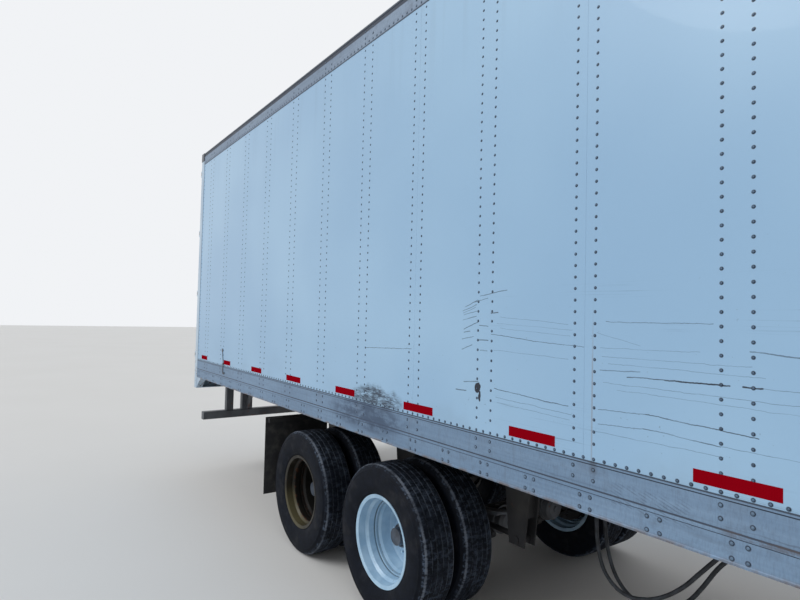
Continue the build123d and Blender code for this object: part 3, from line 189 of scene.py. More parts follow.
def spline_line(name, points):
    """Points along the NURBS spline that has these control points."""
    curve = bpy.data.curves.new(name, "CURVE")
    curve.dimensions = "3D"
    curve.resolution_u = 12
    spline = curve.splines.new("NURBS")
    spline.points.add(len(points) - 1)
    for point, place in zip(spline.points, points):
        point.co = (*place, 1)
    spline.order_u = 3
    spline.use_endpoint_u = True
    holder = linked(name, curve)
    line = bpy.data.meshes.new_from_object(holder)
    places = [vertex.co.copy() for vertex in line.vertices]
    bpy.data.objects.remove(holder)
    return places


def swept_tube(name, places, radius, sides, material=None):
    """A closed tube along a line, its rings turned as little as the line allows."""
    shape = bmesh.new()
    rings = []
    side = Vector((0, 1, 0))
    for index, place in enumerate(places):
        before, after = places[max(index - 1, 0)], places[min(index + 1, len(places) - 1)]
        along = (after - before).normalized()
        side = (side - along * side.dot(along)).normalized()
        over = along.cross(side)
        ring = []
        for step in range(sides):
            turn = math.tau * step / sides
            ring.append(shape.verts.new(place + radius * (math.cos(turn) * side + math.sin(turn) * over)))
        rings.append(ring)
    for near, far in zip(rings, rings[1:]):
        for step in range(sides):
            after = (step + 1) % sides
            shape.faces.new((near[step], near[after], far[after], far[step]))
    shape.faces.new(list(reversed(rings[0])))
    shape.faces.new(rings[-1])
    bmesh.ops.recalc_face_normals(shape, faces=shape.faces)
    tube = shaped(name, shape, material)
    tube.data.shade_smooth()
    return tube

# %% Hoses
hoses = {}
hose_lines = {}
for node, route in HOSE_ROUTES.items():
    control = [Vector((at(station), y, z)) for station, y, z in route]
    line = spline_line(node + "_line", control)
    hoses[node] = swept_tube(node + "_tube", line, HOSE_RADIUS, HOSE_SIDES)
    hose_lines[node] = line
    length = sum((b - a).length for a, b in zip(line, line[1:]))
    print(node, "length", round(length, 3), "m,", len(hoses[node].data.polygons), "faces")

# %% [markdown]
# A finish is a tree of shader nodes, and written as node calls it soon can't be read. Here one small class
# wraps a socket and answers to Python's own operators, so that a mask such as (height - 1.4) * speckle adds
# its Math nodes by itself. A second class has the single method that makes every other kind of node, and
# finishes, the sky and the recipes for rivets and nuts all share it. A finish lays one layer of colour over
# another, as paint and dirt do.

# %% Shader sums in Python


class Amount:
    """A number that changes over a surface: one socket, with Python's operators."""

    def __init__(self, nodes, socket):
        self.nodes = nodes
        self.socket = socket

    def sum(self, operation, *others):
        """A Math node of that operation, on this amount and the others."""
        settings, sockets = {"operation": operation}, dict(enumerate((self, *others)))
        return Amount(self.nodes, self.nodes.node("ShaderNodeMath", settings, sockets).outputs[0])

    def __add__(self, other):
        return self.sum("ADD", other)

    def __sub__(self, other):
        return self.sum("SUBTRACT", other)

    def __mul__(self, other):
        return self.sum("MULTIPLY", other)

    def __truediv__(self, other):
        return self.sum("DIVIDE", other)

    def __abs__(self):
        return self.sum("ABSOLUTE")

    def __rsub__(self, other):
        return (self * -1) + other

    __radd__ = __add__
    __rmul__ = __mul__

    def least(self, other):
        return self.sum("MINIMUM", other)

    def most(self, other):
        return self.sum("MAXIMUM", other)

    def fade(self, low, high):
        """0 at low, 1 at high, and smooth between them; low may be the larger."""
        if low > high:
            return 1 - self.fade(high, low)
        settings = {"interpolation_type": "SMOOTHSTEP"}
        sockets = {"Value": self, "From Min": low, "From Max": high}
        return Amount(self.nodes, self.nodes.node("ShaderNodeMapRange", settings, sockets).outputs[0])

    def band(self, low, high, soft):
        """1 between low and high, fading to 0 over soft outside them."""
        return self.fade(low - soft, low) * self.fade(high + soft, high)

    def off(self, first, pitch):
        """How far the nearest of a row of even lines is, as a share of their pitch."""
        share = (self - first) / pitch
        return abs(share - share.sum("ROUND"))

    def wave(self, pitch, start=0.0):
        """-1 to 1, once in each pitch."""
        return ((self - start) * (math.tau / pitch)).sum("SINE")


print("an amount can be", ", ".join(name for name in vars(Amount) if name[0] != "_"))

# %% One method for every other node


class Nodes:
    """A tree of nodes, and the one method that adds any node to it."""

    def __init__(self, tree):
        self.tree = tree

    def feed(self, socket, value):
        if isinstance(value, Amount):
            value = value.socket
        if isinstance(value, bpy.types.NodeSocket):
            self.tree.links.new(value, socket)
        else:
            socket.default_value = value

    def node(self, kind, settings=None, sockets=None):
        """Any node: its settings first, then the values or links of its sockets."""
        made = self.tree.nodes.new(kind)
        for name, value in (settings or {}).items():
            setattr(made, name, value)
        for name, value in (sockets or {}).items():
            self.feed(made.inputs[name], value)
        return made

# %% One finish and its layers


class Finish(Nodes):
    """One material, and the colour that its layers have built up so far."""

    def __init__(self, name, roughness, metallic=0.0, coat=0.0, specular=0.5):
        self.material = bpy.data.materials.new(name)
        self.material.use_nodes = True
        super().__init__(self.material.node_tree)
        self.shader = self.tree.nodes["Principled BSDF"]
        plain = {"Roughness": roughness, "Metallic": metallic, "Coat Weight": coat}
        plain["Specular IOR Level"] = specular
        for socket, value in plain.items():
            self.shader.inputs[socket].default_value = value
        self.spot = self.node("ShaderNodeTexCoord").outputs["Object"]
        self.colour = None

    def place(self):
        """The point on the piece, as x, y and z amounts."""
        parts = self.node("ShaderNodeSeparateXYZ", sockets={0: self.spot})
        return [Amount(self, socket) for socket in parts.outputs]

    def speckle(self, size, stretch=(1, 1, 1), detail=3.0, rough=0.55, shift=(0, 0, 0)):
        """Noise from 0 to 1 with spots of that size in metres, drawn out by stretch."""
        scale = [1 / (size * part) for part in stretch]
        spot = {"Vector": self.spot, "Scale": scale, "Location": shift}
        moved = self.node("ShaderNodeMapping", sockets=spot).outputs[0]
        sockets = {"Vector": moved, "Scale": 1.0, "Detail": detail, "Roughness": rough}
        return Amount(self, self.node("ShaderNodeTexNoise", sockets=sockets).outputs["Fac"])

    def attribute(self, name):
        return Amount(self, self.node("ShaderNodeAttribute", {"attribute_name": name}).outputs["Fac"])

    def blend(self, amount, first, second):
        """The first colour where amount is 0 and the second where it is 1; plain ones are 0 to 255."""
        first, second = (tone(*part) if isinstance(part, tuple) else part for part in (first, second))
        settings = {"data_type": "RGBA", "clamp_factor": True}
        return self.node("ShaderNodeMix", settings, {0: amount, 6: first, 7: second}).outputs[2]

    def ground(self, amount, first, second):
        """The colour under every layer, two shades blended."""
        self.colour = self.blend(amount, first, second)

    def layer(self, amount, shade):
        """One more layer: that shade where amount is 1, and what lies under it where amount is 0."""
        self.colour = self.blend(amount, self.colour, shade)

    def bump(self, height, depth, strength=1.0):
        """Bump from an amount from 0 to 1, that many metres deep."""
        sockets = {"Height": height, "Distance": depth, "Strength": strength}
        self.feed(self.shader.inputs["Normal"], self.node("ShaderNodeBump", sockets=sockets).outputs[0])

    def wear(self, roughness=None, metallic=None):
        """The colour, and the roughness and metallic if they change, go to the shader."""
        ends = {"Base Color": self.colour, "Roughness": roughness, "Metallic": metallic}
        for socket, value in ends.items():
            if value is not None:
                self.feed(self.shader.inputs[socket], value)
        return self.material


def tone(red, green, blue):
    """A colour as read off a screen, 0 to 255, made linear."""
    linear = []
    for part in (red, green, blue):
        share = part / 255
        linear.append(share / 12.92 if share <= 0.04045 else ((share + 0.055) / 1.055) ** 2.4)
    return (*linear, 1.0)


FINISHES = {}


def add_finishes(**made):
    """Keeps each finish under the name of the slot that it fills."""
    FINISHES.update(made)
    print(*(f"{slot}: {material.name}" for slot, material in made.items()), sep=", ")


print("a screen's middle grey is", round(tone(128, 128, 128)[0], 3))

# %% [markdown]
# Paint over thin sheet tells its age in layers: the enamel fades unevenly, rain carries dirt down from the
# roof rail, road spray greys the lowest half metre, and passing branches and docks leave long thin
# scratches. Each layer is a mask from 0 to 1 and one colour blended over the last. The sheet also quilts a
# little between its posts, which a shallow bump shows in the reflections.

# %% Scratches and scars on the curb-side wall
# Columns: start station, start z, end station, end z, width in mm, strength
WALL_SCRATCHES = [
    (4.160, 1.805, 4.698, 1.824, 2.8, 0.80), (5.117, 1.627, 5.199, 1.629, 4.7, 0.75),
    (5.160, 1.850, 5.239, 1.876, 3.6, 0.65), (5.171, 2.036, 5.280, 2.058, 3.6, 0.55),
    (5.173, 1.960, 5.282, 2.000, 3.6, 0.75), (5.174, 1.943, 5.221, 1.950, 4.0, 0.65),
    (5.162, 2.058, 5.268, 2.090, 4.0, 0.75), (5.166, 2.046, 5.262, 2.076, 3.6, 0.60),
    (5.164, 2.008, 5.268, 2.030, 3.8, 0.65), (5.160, 1.906, 5.250, 1.920, 3.8, 0.60),
    (5.178, 2.080, 5.279, 2.117, 3.4, 0.70), (5.181, 1.675, 5.290, 1.689, 4.7, 0.85),
    (5.233, 2.101, 5.353, 2.126, 3.6, 0.70), (5.290, 1.984, 5.357, 1.981, 3.6, 0.65),
    (5.292, 1.905, 5.359, 1.908, 4.3, 0.75), (5.293, 2.138, 5.486, 2.164, 3.4, 0.70),
    (5.301, 1.853, 5.353, 1.853, 4.0, 0.70), (5.377, 2.048, 5.427, 2.051, 4.3, 0.75),
    (5.380, 1.940, 5.676, 1.915, 2.4, 0.80), (5.408, 1.666, 5.657, 1.648, 2.8, 0.85),
    (5.441, 2.028, 5.857, 2.001, 1.7, 0.40), (5.442, 1.972, 5.868, 1.948, 1.7, 0.35),
    (5.657, 1.648, 5.862, 1.639, 2.8, 0.85), (5.676, 1.915, 5.941, 1.904, 2.1, 0.70),
    (5.420, 1.996, 5.880, 1.975, 2.0, 0.30), (5.400, 1.860, 5.860, 1.846, 2.0, 0.35),
    (5.420, 1.622, 5.880, 1.604, 2.2, 0.45), (5.430, 1.596, 5.870, 1.580, 2.2, 0.40),
    (5.979, 1.553, 6.510, 1.555, 1.9, 0.45), (6.005, 1.968, 6.200, 1.924, 2.2, 0.30),
    (6.014, 1.587, 6.220, 1.601, 2.4, 0.60), (6.014, 1.646, 6.240, 1.660, 2.4, 0.60),
    (6.020, 1.904, 6.430, 1.912, 1.7, 0.40), (6.021, 1.812, 6.200, 1.820, 3.2, 0.55),
    (6.036, 1.762, 6.980, 1.758, 1.7, 0.50), (6.030, 1.868, 6.600, 1.872, 1.8, 0.40),
    (6.060, 1.842, 6.640, 1.838, 1.8, 0.40), (6.100, 1.738, 6.900, 1.728, 1.8, 0.35),
    (6.047, 2.015, 6.475, 2.013, 2.1, 0.65), (6.145, 1.796, 6.300, 1.798, 3.2, 0.90),
    (6.300, 1.798, 6.530, 1.802, 4.4, 1.00), (6.214, 1.601, 6.500, 1.590, 2.8, 0.75),
    (6.225, 1.659, 6.620, 1.639, 3.0, 0.85), (6.481, 1.591, 7.300, 1.582, 1.9, 0.50),
    (6.572, 1.802, 6.632, 1.803, 4.4, 1.00), (6.594, 1.923, 6.737, 1.913, 3.6, 0.65),
    (6.632, 1.803, 7.700, 1.822, 2.2, 0.45), (7.200, 1.650, 8.900, 1.620, 2.1, 0.65),
    (8.100, 2.130, 9.600, 2.100, 2.5, 0.55),
]

# Columns: station, z, half length, half height
GOUGES = [(5.286, 1.654, 0.024, 0.029), (5.302, 1.612, 0.010, 0.034)]
SCUFF = (4.300, 1.462, 0.350, 0.105)
BROWN_SEAM = 5.984
BROWN_FROM = 6.570
print(len(WALL_SCRATCHES), "scratches and", len(GOUGES), "gouges")


def scratch_mask(finish, x, z, table):
    """How far each point lies inside one of the scratches, from 0 to 1."""
    ragged = finish.speckle(0.11, detail=4, rough=0.7) - 0.5
    height = z + ragged * 0.016
    whole = None
    for start, low, stop, high, width, strength in table:
        x0, run, rise = at(start), stop - start, high - low
        share = ((x - x0) / run).most(0).least(1)
        gap_x, gap_z = x - x0 - share * run, height - low - share * rise
        gap = (gap_x * gap_x + gap_z * gap_z).sum("SQRT")
        line = gap.fade(width * MM * 0.9, width * MM * 0.25) * strength
        whole = line if whole is None else whole.most(line)
    broken = finish.speckle(0.05, stretch=(3, 1, 1), detail=4, shift=(0, 0, 5)).fade(0.34, 0.52)
    return whole * (broken * 0.4 + 0.6)


def oval_mask(x, z, middle, low, half_long, half_tall, soft):
    across = (x - middle) / half_long
    upright = (z - low) / half_tall
    return (across * across + upright * upright).fade(1, 1 - soft)

# %% Layers of old enamel
# The enamel colours are white with a painted blue cast of sky shade.
SKY_SHADED_ENAMEL = (145, 181, 212)
SKY_SHADED_FADED_ENAMEL = (157, 192, 220)
GRIME = (84, 94, 102)
# Painted shade round the rivet heads.
RING_SHADE = (52, 64, 80)
SPRAY = (112, 122, 128)
SCAR = (24, 33, 48)
SEAM_BROWN = (128, 112, 100)
PLYWOOD = (150, 118, 80)


def quilting(finish, x):
    """Sheet pulled flat at each post and slack between them."""
    bay = x.wave(POST_PITCH, at(FIRST_POST) - POST_PITCH / 4)
    slack = finish.speckle(0.8, stretch=(1, 1, 1.6), detail=1, shift=(7, 0, 0))
    return bay * 0.35 + slack


def head_shade_rings(x, z, first, pitch, pair_half, low, step, radius):
    """Painted shade round each head of a row of column pairs, from 0 to 1."""
    across = abs(x.off(at(first), pitch) * pitch - pair_half)
    upright = z.off(low, step) * step
    return (across * across + upright * upright).sum("SQRT").fade(radius + 0.0028, radius)


def enamel_layers(finish, x, y, z, marked):
    """The layers of old white enamel on sheet, and its roughness; marked is the riveted side wall."""
    cloud = finish.speckle(1.7, detail=2)
    finish.ground(cloud.fade(0.35, 0.7), SKY_SHADED_ENAMEL, SKY_SHADED_FADED_ENAMEL)
    runs = finish.speckle(0.06, stretch=(1, 1, 26), detail=5, rough=0.6)
    under_rail = z.fade(3.2, 4.0) * runs.fade(0.50, 0.72) * 0.08
    finish.layer(under_rail, GRIME)
    spray = z.fade(1.75, 1.42) * finish.speckle(0.25, stretch=(1.8, 1, 1), detail=6).fade(0.42, 0.75) * 0.16
    finish.layer(spray, SPRAY)
    dots = finish.speckle(0.018, detail=2, shift=(0, 0, 9)).fade(0.72, 0.77) * z.fade(2.6, 1.5) * 0.35
    finish.layer(dots, GRIME)
    worn = spray.most(under_rail)
    if marked:
        # Painted shade round each wall rivet head and each foot rivet.
        rings = head_shade_rings(x, z, FIRST_POST, POST_PITCH, PAIR_HALF, FIRST_ROW, ROW_PITCH, 0.0060)
        foot = head_shade_rings(x, z, FOOT_START, ROW_PITCH, 0, FOOT_ROW, LONE_ROW, 0.0068)
        ringed = (rings * z.fade(FIRST_ROW - 0.03, FIRST_ROW - 0.02)).most(foot)
        finish.layer(ringed * 0.85, RING_SHADE)
        kerb = y.fade(0.1, -0.1)
        scratches = scratch_mask(finish, x, z, WALL_SCRATCHES) * kerb
        hazy = finish.speckle(0.009, stretch=(80, 1, 1), detail=3, shift=(0, 0, 2)).fade(0.58, 0.70)
        hazy = hazy * z.band(1.46, 2.10, 0.12) * x.fade(at(5.2), at(5.6))
        hazy = hazy * finish.speckle(0.7).fade(0.42, 0.62)
        scratches = scratches.most(hazy * kerb * 0.4)
        edge = (finish.speckle(0.03, detail=4) - 0.5) * 0.03
        ovals = [oval_mask(x + edge, z + edge, at(place), low, half_long, half_tall, 0.35)
                 for place, low, half_long, half_tall in GOUGES]
        gouge = ovals[0].most(ovals[1]) * kerb
        place, low, half_long, half_tall = SCUFF
        smear = finish.speckle(0.035, stretch=(2.5, 1, 1), detail=6, rough=0.75)
        fine = finish.speckle(0.007, stretch=(6, 1, 1), detail=4).fade(0.44, 0.58)
        smear = (smear.fade(0.34, 0.58) * 0.7 + fine * 0.5).least(1)
        torn = (finish.speckle(0.16, detail=4, shift=(1, 0, 6)) - 0.5) * 0.22
        scuff = oval_mask(x + torn, z + torn * 0.6, at(place), low, half_long, half_tall, 0.75)
        scuff = scuff * smear * kerb
        finish.layer(scratches.most(gouge), SCAR)
        finish.layer(scuff * 0.92, (30, 41, 58))
        worn = worn.most(scuff).most(gouge)
    return worn * 0.35 + 0.34

# %% Wall and front enamel


def plywood(finish):
    """The lining inside the wall, its grain upright."""
    return finish.blend(finish.speckle(0.012, stretch=(1, 1, 40), detail=4), PLYWOOD, (176, 146, 104))


def wall_enamel():
    """Outer skin with plywood lining behind it."""
    finish = Finish("wall_enamel", 0.34, coat=0.15)
    x, y, z = finish.place()
    roughness = enamel_layers(finish, x, y, z, True)
    brown = abs(x - at(BROWN_SEAM)).fade(0.0055, 0.0015) * z.fade(2.15, 1.75) * y.fade(0.1, -0.1)
    patchy = finish.speckle(0.05, stretch=(1, 1, 8), detail=4).fade(0.30, 0.6)
    finish.layer(brown * (patchy * 0.35 + 0.08), SEAM_BROWN)
    inside = abs(y).fade(LINING + 0.03, LINING + 0.01) * x.fade(NOSE - 0.02, NOSE - 0.03)
    finish.layer(inside, plywood(finish))
    finish.bump(quilting(finish, x), 0.004, 0.5)
    return finish.wear(roughness)


def front_enamel():
    finish = Finish("front_enamel", 0.36, coat=0.15)
    x, y, z = finish.place()
    roughness = enamel_layers(finish, x, y, z, False)
    bugs = finish.speckle(0.02, detail=3, shift=(0, 4, 0)).fade(0.68, 0.74) * z.fade(1.3, 2.4) * 0.6
    finish.layer(bugs, (110, 100, 84))
    finish.layer(x.fade(NOSE - 0.02, NOSE - 0.03), plywood(finish))
    finish.bump(finish.speckle(0.7, detail=1), 0.004, 0.5)
    return finish.wear(roughness)


add_finishes(wall_white=wall_enamel(), front_white=front_enamel())

# %% [markdown]
# The rails are mill-finish aluminium: pale, dull, drawn out along their length, with brown run marks under
# the sheet seams and dark rubs where docks and kerbs have touched. The lower edge has picked up a thin line
# of rust-coloured dust. The roof rail is the same metal, but greyer, and the roof sheet shows a faint line
# over each bow.

# %% Marks on the rails


def drawn_line(z, height, half=0.0011):
    """A thin level line at that height."""
    return abs(z - height).fade(half * 2.2, half)


def bottom_rail_marks(finish, mottle, runs):
    """Painted shade round the heads, stains under the posts, painted shade along the grooves and under the
    sheet's foot, a rubbed hatch and an oily patch.
    """
    x, y, z = finish.place()
    kerb = y.fade(0.1, -0.1)
    # Painted shade round the rail's rivet heads.
    rings = 0
    for first, pitch, half, (low, step), radius in (
        (FIRST_POST, POST_PITCH, PAIR_HALF, UPPER_BAND_ROWS, 0.0082),
        (FIRST_CROSS, CROSS_PITCH, CROSS_PAIR_HALF, LOWER_BAND_ROWS, 0.0086),
    ):
        row = head_shade_rings(x, z, first, pitch, half, low, step, radius)
        rings = (row * z.band(low - 0.012, low + step + 0.012, 0.002)).most(rings)
    finish.layer(rings * 0.75, (52, 60, 72))
    at_post = x.off(at(FIRST_POST), POST_PITCH).fade(0.10, 0.03) * z.fade(RAIL_UNDER + 0.08, RAIL_TOP)
    finish.layer(at_post * runs.most(0.2) * 0.5, (92, 82, 76))
    seam = abs(x - at(BROWN_SEAM + 0.01)).fade(0.03, 0.006) * z.fade(RAIL_GROOVE + 0.02, RAIL_TOP)
    finish.layer(seam * mottle.fade(0.3, 0.6) * 0.55, (64, 58, 58))
    edge = z.fade(RAIL_UNDER + 0.020, RAIL_UNDER + 0.002) * finish.speckle(0.07, detail=5).fade(0.32, 0.6)
    finish.layer(edge * 0.7, (104, 84, 66))
    # Painted shade: dark lines along the grooves' edges and under the sheet's foot at the rail's top.
    shade_lines = drawn_line(z, RAIL_TOP - 0.0138, 0.0016).most(drawn_line(z, RAIL_GROOVE - 0.0088))
    shade_lines = shade_lines.most(drawn_line(z, RAIL_GROOVE + 0.0088, 0.0018)).most(drawn_line(z, RAIL_TOP, 0.0030))
    finish.layer(shade_lines * 0.9, (28, 36, 50))
    hatch = ((x * 0.35 + z).wave(0.013) * 0.5 + 0.5).fade(0.55, 0.9) * mottle.fade(0.42, 0.56)
    hatch = hatch * z.band(RAIL_GROOVE - 0.01, RAIL_GROOVE + 0.05, 0.03) * kerb
    hatch = hatch * x.band(at(6.14), at(6.36), 0.10)
    finish.layer(hatch * 0.40, (60, 74, 94))
    scrape = drawn_line(z + mottle * 0.02, RAIL_GROOVE + 0.034, 0.0016) * x.fade(at(5.2), at(5.6))
    scrape = scrape * finish.speckle(0.4, stretch=(3, 1, 1), detail=2, shift=(4, 4, 0)).fade(0.45, 0.6)
    finish.layer(scrape * 0.4, (60, 66, 76))
    brown = z.band(RAIL_GROOVE - 0.004, RAIL_GROOVE + 0.010, 0.006)
    brown = brown * x.fade(at(BROWN_FROM - 0.1), at(BROWN_FROM))
    finish.layer(brown * mottle.fade(0.40, 0.56) * 0.5, (82, 68, 62))
    place, low, half_long, half_tall = SCUFF
    oily = oval_mask(x, z, at(place - 0.12), low - 0.12, half_long * 1.6, half_tall * 1.2, 0.8)
    oily = oily * finish.speckle(0.07, stretch=(2, 1, 1), detail=6, rough=0.65).fade(0.28, 0.58)
    finish.layer(oily * kerb * 0.8, (50, 68, 94))


def top_rail_marks(finish, mottle, runs):
    """Painted shade round the heads, and the dark edge under the roof."""
    x, y, z = finish.place()
    foot = TOP_FOOT_ROW
    # Painted shade round the top rail's rivet heads.
    row = head_shade_rings(x, z, FOOT_START, ROW_PITCH, 0, foot, LONE_ROW, 0.0075)
    row = row * z.band(foot - 0.012, foot + 0.012, 0.002)
    pairs = head_shade_rings(x, z, FIRST_POST, POST_PITCH, PAIR_HALF, *TOP_BAND_ROWS, 0.0080)
    finish.layer(row.most(pairs * z.fade(foot + 0.015, foot + 0.020)) * 0.85, RING_SHADE)
    finish.layer(z.fade(TOP_RAIL_UNDER + 0.098, TOP_RAIL_UNDER + 0.106) * 0.9, (26, 34, 50))
    finish.layer(drawn_line(z, TOP_RAIL_UNDER + 0.002, 0.004) * 0.8, (36, 44, 60))

# %% Aluminium


def drawn_metal(name, base, pale, mottled, marks):
    """Extruded aluminium along x, greyed by rain, with the marks of its own rail."""
    finish = Finish(name, 0.5, metallic=0.25)
    drawn = finish.speckle(0.012, stretch=(60, 1, 1), detail=3)
    cloud = finish.speckle(0.6, stretch=(2, 1, 0.5), detail=5)
    finish.ground(drawn.fade(0.3, 0.75) * 0.4 + cloud.fade(0.3, 0.7) * 0.6, base, pale)
    mottle = finish.speckle(0.05, stretch=(1.6, 1, 1), detail=6, rough=0.7)
    finish.layer(mottle.fade(0.50, 0.72) * mottled, (86, 94, 106))
    runs = finish.speckle(0.025, stretch=(1, 1, 12), detail=4).fade(0.56, 0.74)
    finish.layer(runs * 0.14, (84, 86, 90))
    grain = finish.speckle(0.005, stretch=(1, 1, 4), detail=3, shift=(0, 0, 7))
    finish.layer(grain.fade(0.40, 0.75) * 0.22, (70, 84, 102))
    smear = finish.speckle(0.16, stretch=(4, 1, 0.5), detail=6, shift=(5, 0, 0)).fade(0.60, 0.72)
    finish.layer(smear * 0.22, (60, 66, 76))
    marks(finish, mottle, runs)
    finish.bump(drawn * 0.3 + cloud * 0.7, 0.0015, 0.5)
    return finish.wear(cloud * 0.2 + 0.4)


def roof_metal():
    finish = Finish("roof_aluminium", 0.38, metallic=0.5)
    x, y, z = finish.place()
    over_bow = x.off(at(FIRST_POST), POST_PITCH).fade(0.09, 0.03)
    cloud = finish.speckle(0.9, detail=6)
    finish.ground(cloud.fade(0.35, 0.7), (168, 174, 180), (142, 148, 152))
    finish.layer(over_bow * cloud * 0.4, (110, 114, 116))
    patch = finish.speckle(0.14, detail=5, shift=(2, 2, 0)).fade(0.62, 0.75) * 0.4
    finish.layer(patch, (104, 100, 92))
    finish.bump(over_bow + cloud * 0.5, 0.004, 0.6)
    return finish.wear(cloud * 0.3 + 0.25)


add_finishes(
    # The rails' blue grey is a painted cast of sky shade over dull aluminium.
    rail_grey=drawn_metal("rail_aluminium", (108, 134, 162), (129, 155, 182), 0.25, bottom_rail_marks),
    top_rail_grey=drawn_metal("top_rail_aluminium", (112, 130, 152), (136, 154, 174), 0.45, top_rail_marks),
    roof=roof_metal(),
)

# %% [markdown]
# Steel under a trailer is painted black once and then left to the road. Dust settles on what faces up and
# packs into corners, so one dusty black serves the frames and axles, with rust breaking through it. The same
# function makes the grey of the guard and legs, from other colours and shares of rust.

# %% Painted and bare steel
DUST = (92, 88, 82)
RUST = (104, 62, 38)
DARK_RUST = (62, 42, 32)


def dusty_paint(name, base, worn, roughness, rust, dust, grain=0.2):
    """Paint on steel that has lost some ground to rust and dust."""
    finish = Finish(name, roughness)
    cloud = finish.speckle(grain, detail=5)
    finish.ground(cloud.fade(0.35, 0.7), base, worn)
    bite = finish.speckle(grain * 0.35, detail=7, rough=0.7, shift=(1, 3, 5))
    finish.layer(bite.fade(0.72 - rust * 0.3, 0.80 - rust * 0.3) * 0.9, RUST)
    finish.layer(bite.fade(0.80 - rust * 0.3, 0.90 - rust * 0.3) * 0.8, DARK_RUST)
    settled = finish.speckle(grain * 2.2, detail=6, shift=(9, 1, 0)).fade(0.40, 0.75) * dust
    finish.layer(settled, DUST)
    finish.bump(cloud * 0.5 + bite * 0.5, 0.0012, 0.6)
    return finish.wear(settled * 0.25 + bite * 0.15 + roughness - 0.1)


def frame_enamel():
    """White rear frame, chipped to rust along its lower steel."""
    finish = Finish("frame_enamel", 0.38, coat=0.1)
    x, y, z = finish.place()
    cloud = finish.speckle(0.5, detail=4)
    # The white frame has a painted blue cast of sky shade.
    finish.ground(cloud.fade(0.35, 0.7), (160, 182, 202), (178, 198, 214))
    runs = finish.speckle(0.03, stretch=(1, 1, 16), detail=5).fade(0.55, 0.75)
    finish.layer(runs * 0.22, GRIME)
    chips = finish.speckle(0.06, detail=7, rough=0.72, shift=(2, 0, 1)) + z.fade(2.2, 1.0) * 0.09
    chipped = chips.fade(0.66, 0.69)
    finish.layer(chipped, RUST)
    finish.layer(chips.fade(0.70, 0.76), DARK_RUST)
    cap = z.fade(CAP_UNDER - 0.0005, CAP_UNDER) * abs(y).fade(POST_IN - 0.0005, POST_IN + 0.0005)
    cap = cap * x.fade(0, -1)
    finish.layer(cap, (26, 34, 52))
    finish.bump(1 - chipped, 0.0006, 0.7)
    return finish.wear(chipped * 0.3 + 0.34)


def zinc():
    """Galvanised steel with its pale spangle."""
    finish = Finish("zinc_plate", 0.42, metallic=0.75)
    cells = finish.node("ShaderNodeTexVoronoi", {"feature": "F1"}, {"Vector": finish.spot, "Scale": 90.0})
    spangle = Amount(finish, cells.outputs["Color"])
    finish.ground(spangle.fade(0.2, 0.8), (150, 154, 156), (178, 182, 184))
    bloom = finish.speckle(0.09, detail=5)
    finish.layer(bloom.fade(0.58, 0.72) * 0.6, (120, 96, 74))
    finish.bump(bloom, 0.0006, 0.5)
    return finish.wear(bloom * 0.3 + 0.3)


def greased_steel():
    finish = Finish("greased_steel", 0.3, metallic=0.8)
    x, y, z = finish.place()
    turned = (z.wave(0.0016) * 0.5 + 0.5) * 0.4
    grease = finish.speckle(0.03, detail=4).fade(0.45, 0.6)
    finish.ground(grease, (110, 108, 106), (38, 34, 30))
    finish.bump(turned + grease, 0.0008, 0.5)
    return finish.wear(grease * -0.1 + 0.38, 0.9 - grease * 0.6)


add_finishes(
    frame_white=frame_enamel(), door_white=frame_enamel(), galvanised=zinc(), steel_pin=greased_steel(),
    underbody_black=dusty_paint("underbody_black", (24, 25, 28), (36, 37, 40), 0.62, 0.25, 0.30),
    steel_grey=dusty_paint("steel_grey", (72, 76, 82), (92, 96, 102), 0.55, 0.45, 0.35),
    tank=dusty_paint("tank_enamel", (26, 27, 30), (40, 41, 44), 0.45, 0.10, 0.30),
)

# %% [markdown]
# Rubber, wood and lamp plastic each need only one trait told well: tyres their chalky scuffed shoulders,
# mud flaps and bumpers a dusty dullness, boards their grain and wear, and lamps the moulded ribs under a
# clear lens.

# %% Rubber, wood and lamps


def tyre_rubber():
    """Black rubber, its shoulders scuffed to chalk and the sidewall's widest ring rubbed pale."""
    finish = Finish("tyre_rubber", 0.72, specular=0.15)
    radius = finish.attribute("tyre_radius")
    around = finish.speckle(0.05, detail=6, rough=0.7)
    # The black is painted darker and bluer than the rubber's own, as deep shade.
    finish.ground(around.fade(0.3, 0.8), (6, 11, 20), (16, 22, 34))
    chalk = finish.speckle(0.022, stretch=(1, 2.5, 1), detail=7, rough=0.75, shift=(4, 0, 0))
    blotch = finish.speckle(0.16, detail=4, shift=(8, 2, 0)).fade(0.36, 0.60)
    shoulder = radius.band(0.489, 0.5035, 0.010) * (blotch * 0.7 + 0.3)
    finish.layer(shoulder * chalk.fade(0.46, 0.62) * 0.75, (92, 106, 126))
    wall_edge = radius.band(0.4985, 0.5035, 0.003) * (blotch * 0.6 + 0.4)
    finish.layer(wall_edge * chalk.fade(0.36, 0.5) * 0.8, (104, 112, 124))
    lower = radius.band(0.33, 0.45, 0.05) * finish.speckle(0.12, detail=5, shift=(0, 7, 0)).fade(0.5, 0.7)
    finish.layer(lower * 0.25, (62, 62, 64))
    tread = radius.fade(0.5035, 0.507)
    finish.layer(tread * chalk.fade(0.4, 0.7) * 0.3, (42, 48, 60))
    ring = (radius.wave(0.009) * 0.5 + 0.5) * radius.band(0.455, 0.475, 0.004)
    finish.bump(ring * 0.6 + chalk * 0.4, 0.0012, 0.7)
    return finish.wear(chalk * 0.2 + 0.62)


def dull_rubber(name, base, dust):
    finish = Finish(name, 0.8)
    cloud = finish.speckle(0.12, detail=6, rough=0.65)
    finish.ground(cloud.fade(0.4, 0.75) * dust, base, (96, 94, 90))
    finish.bump(finish.speckle(0.006, detail=3), 0.0006, 0.5)
    return finish.wear(cloud * 0.25 + 0.62)


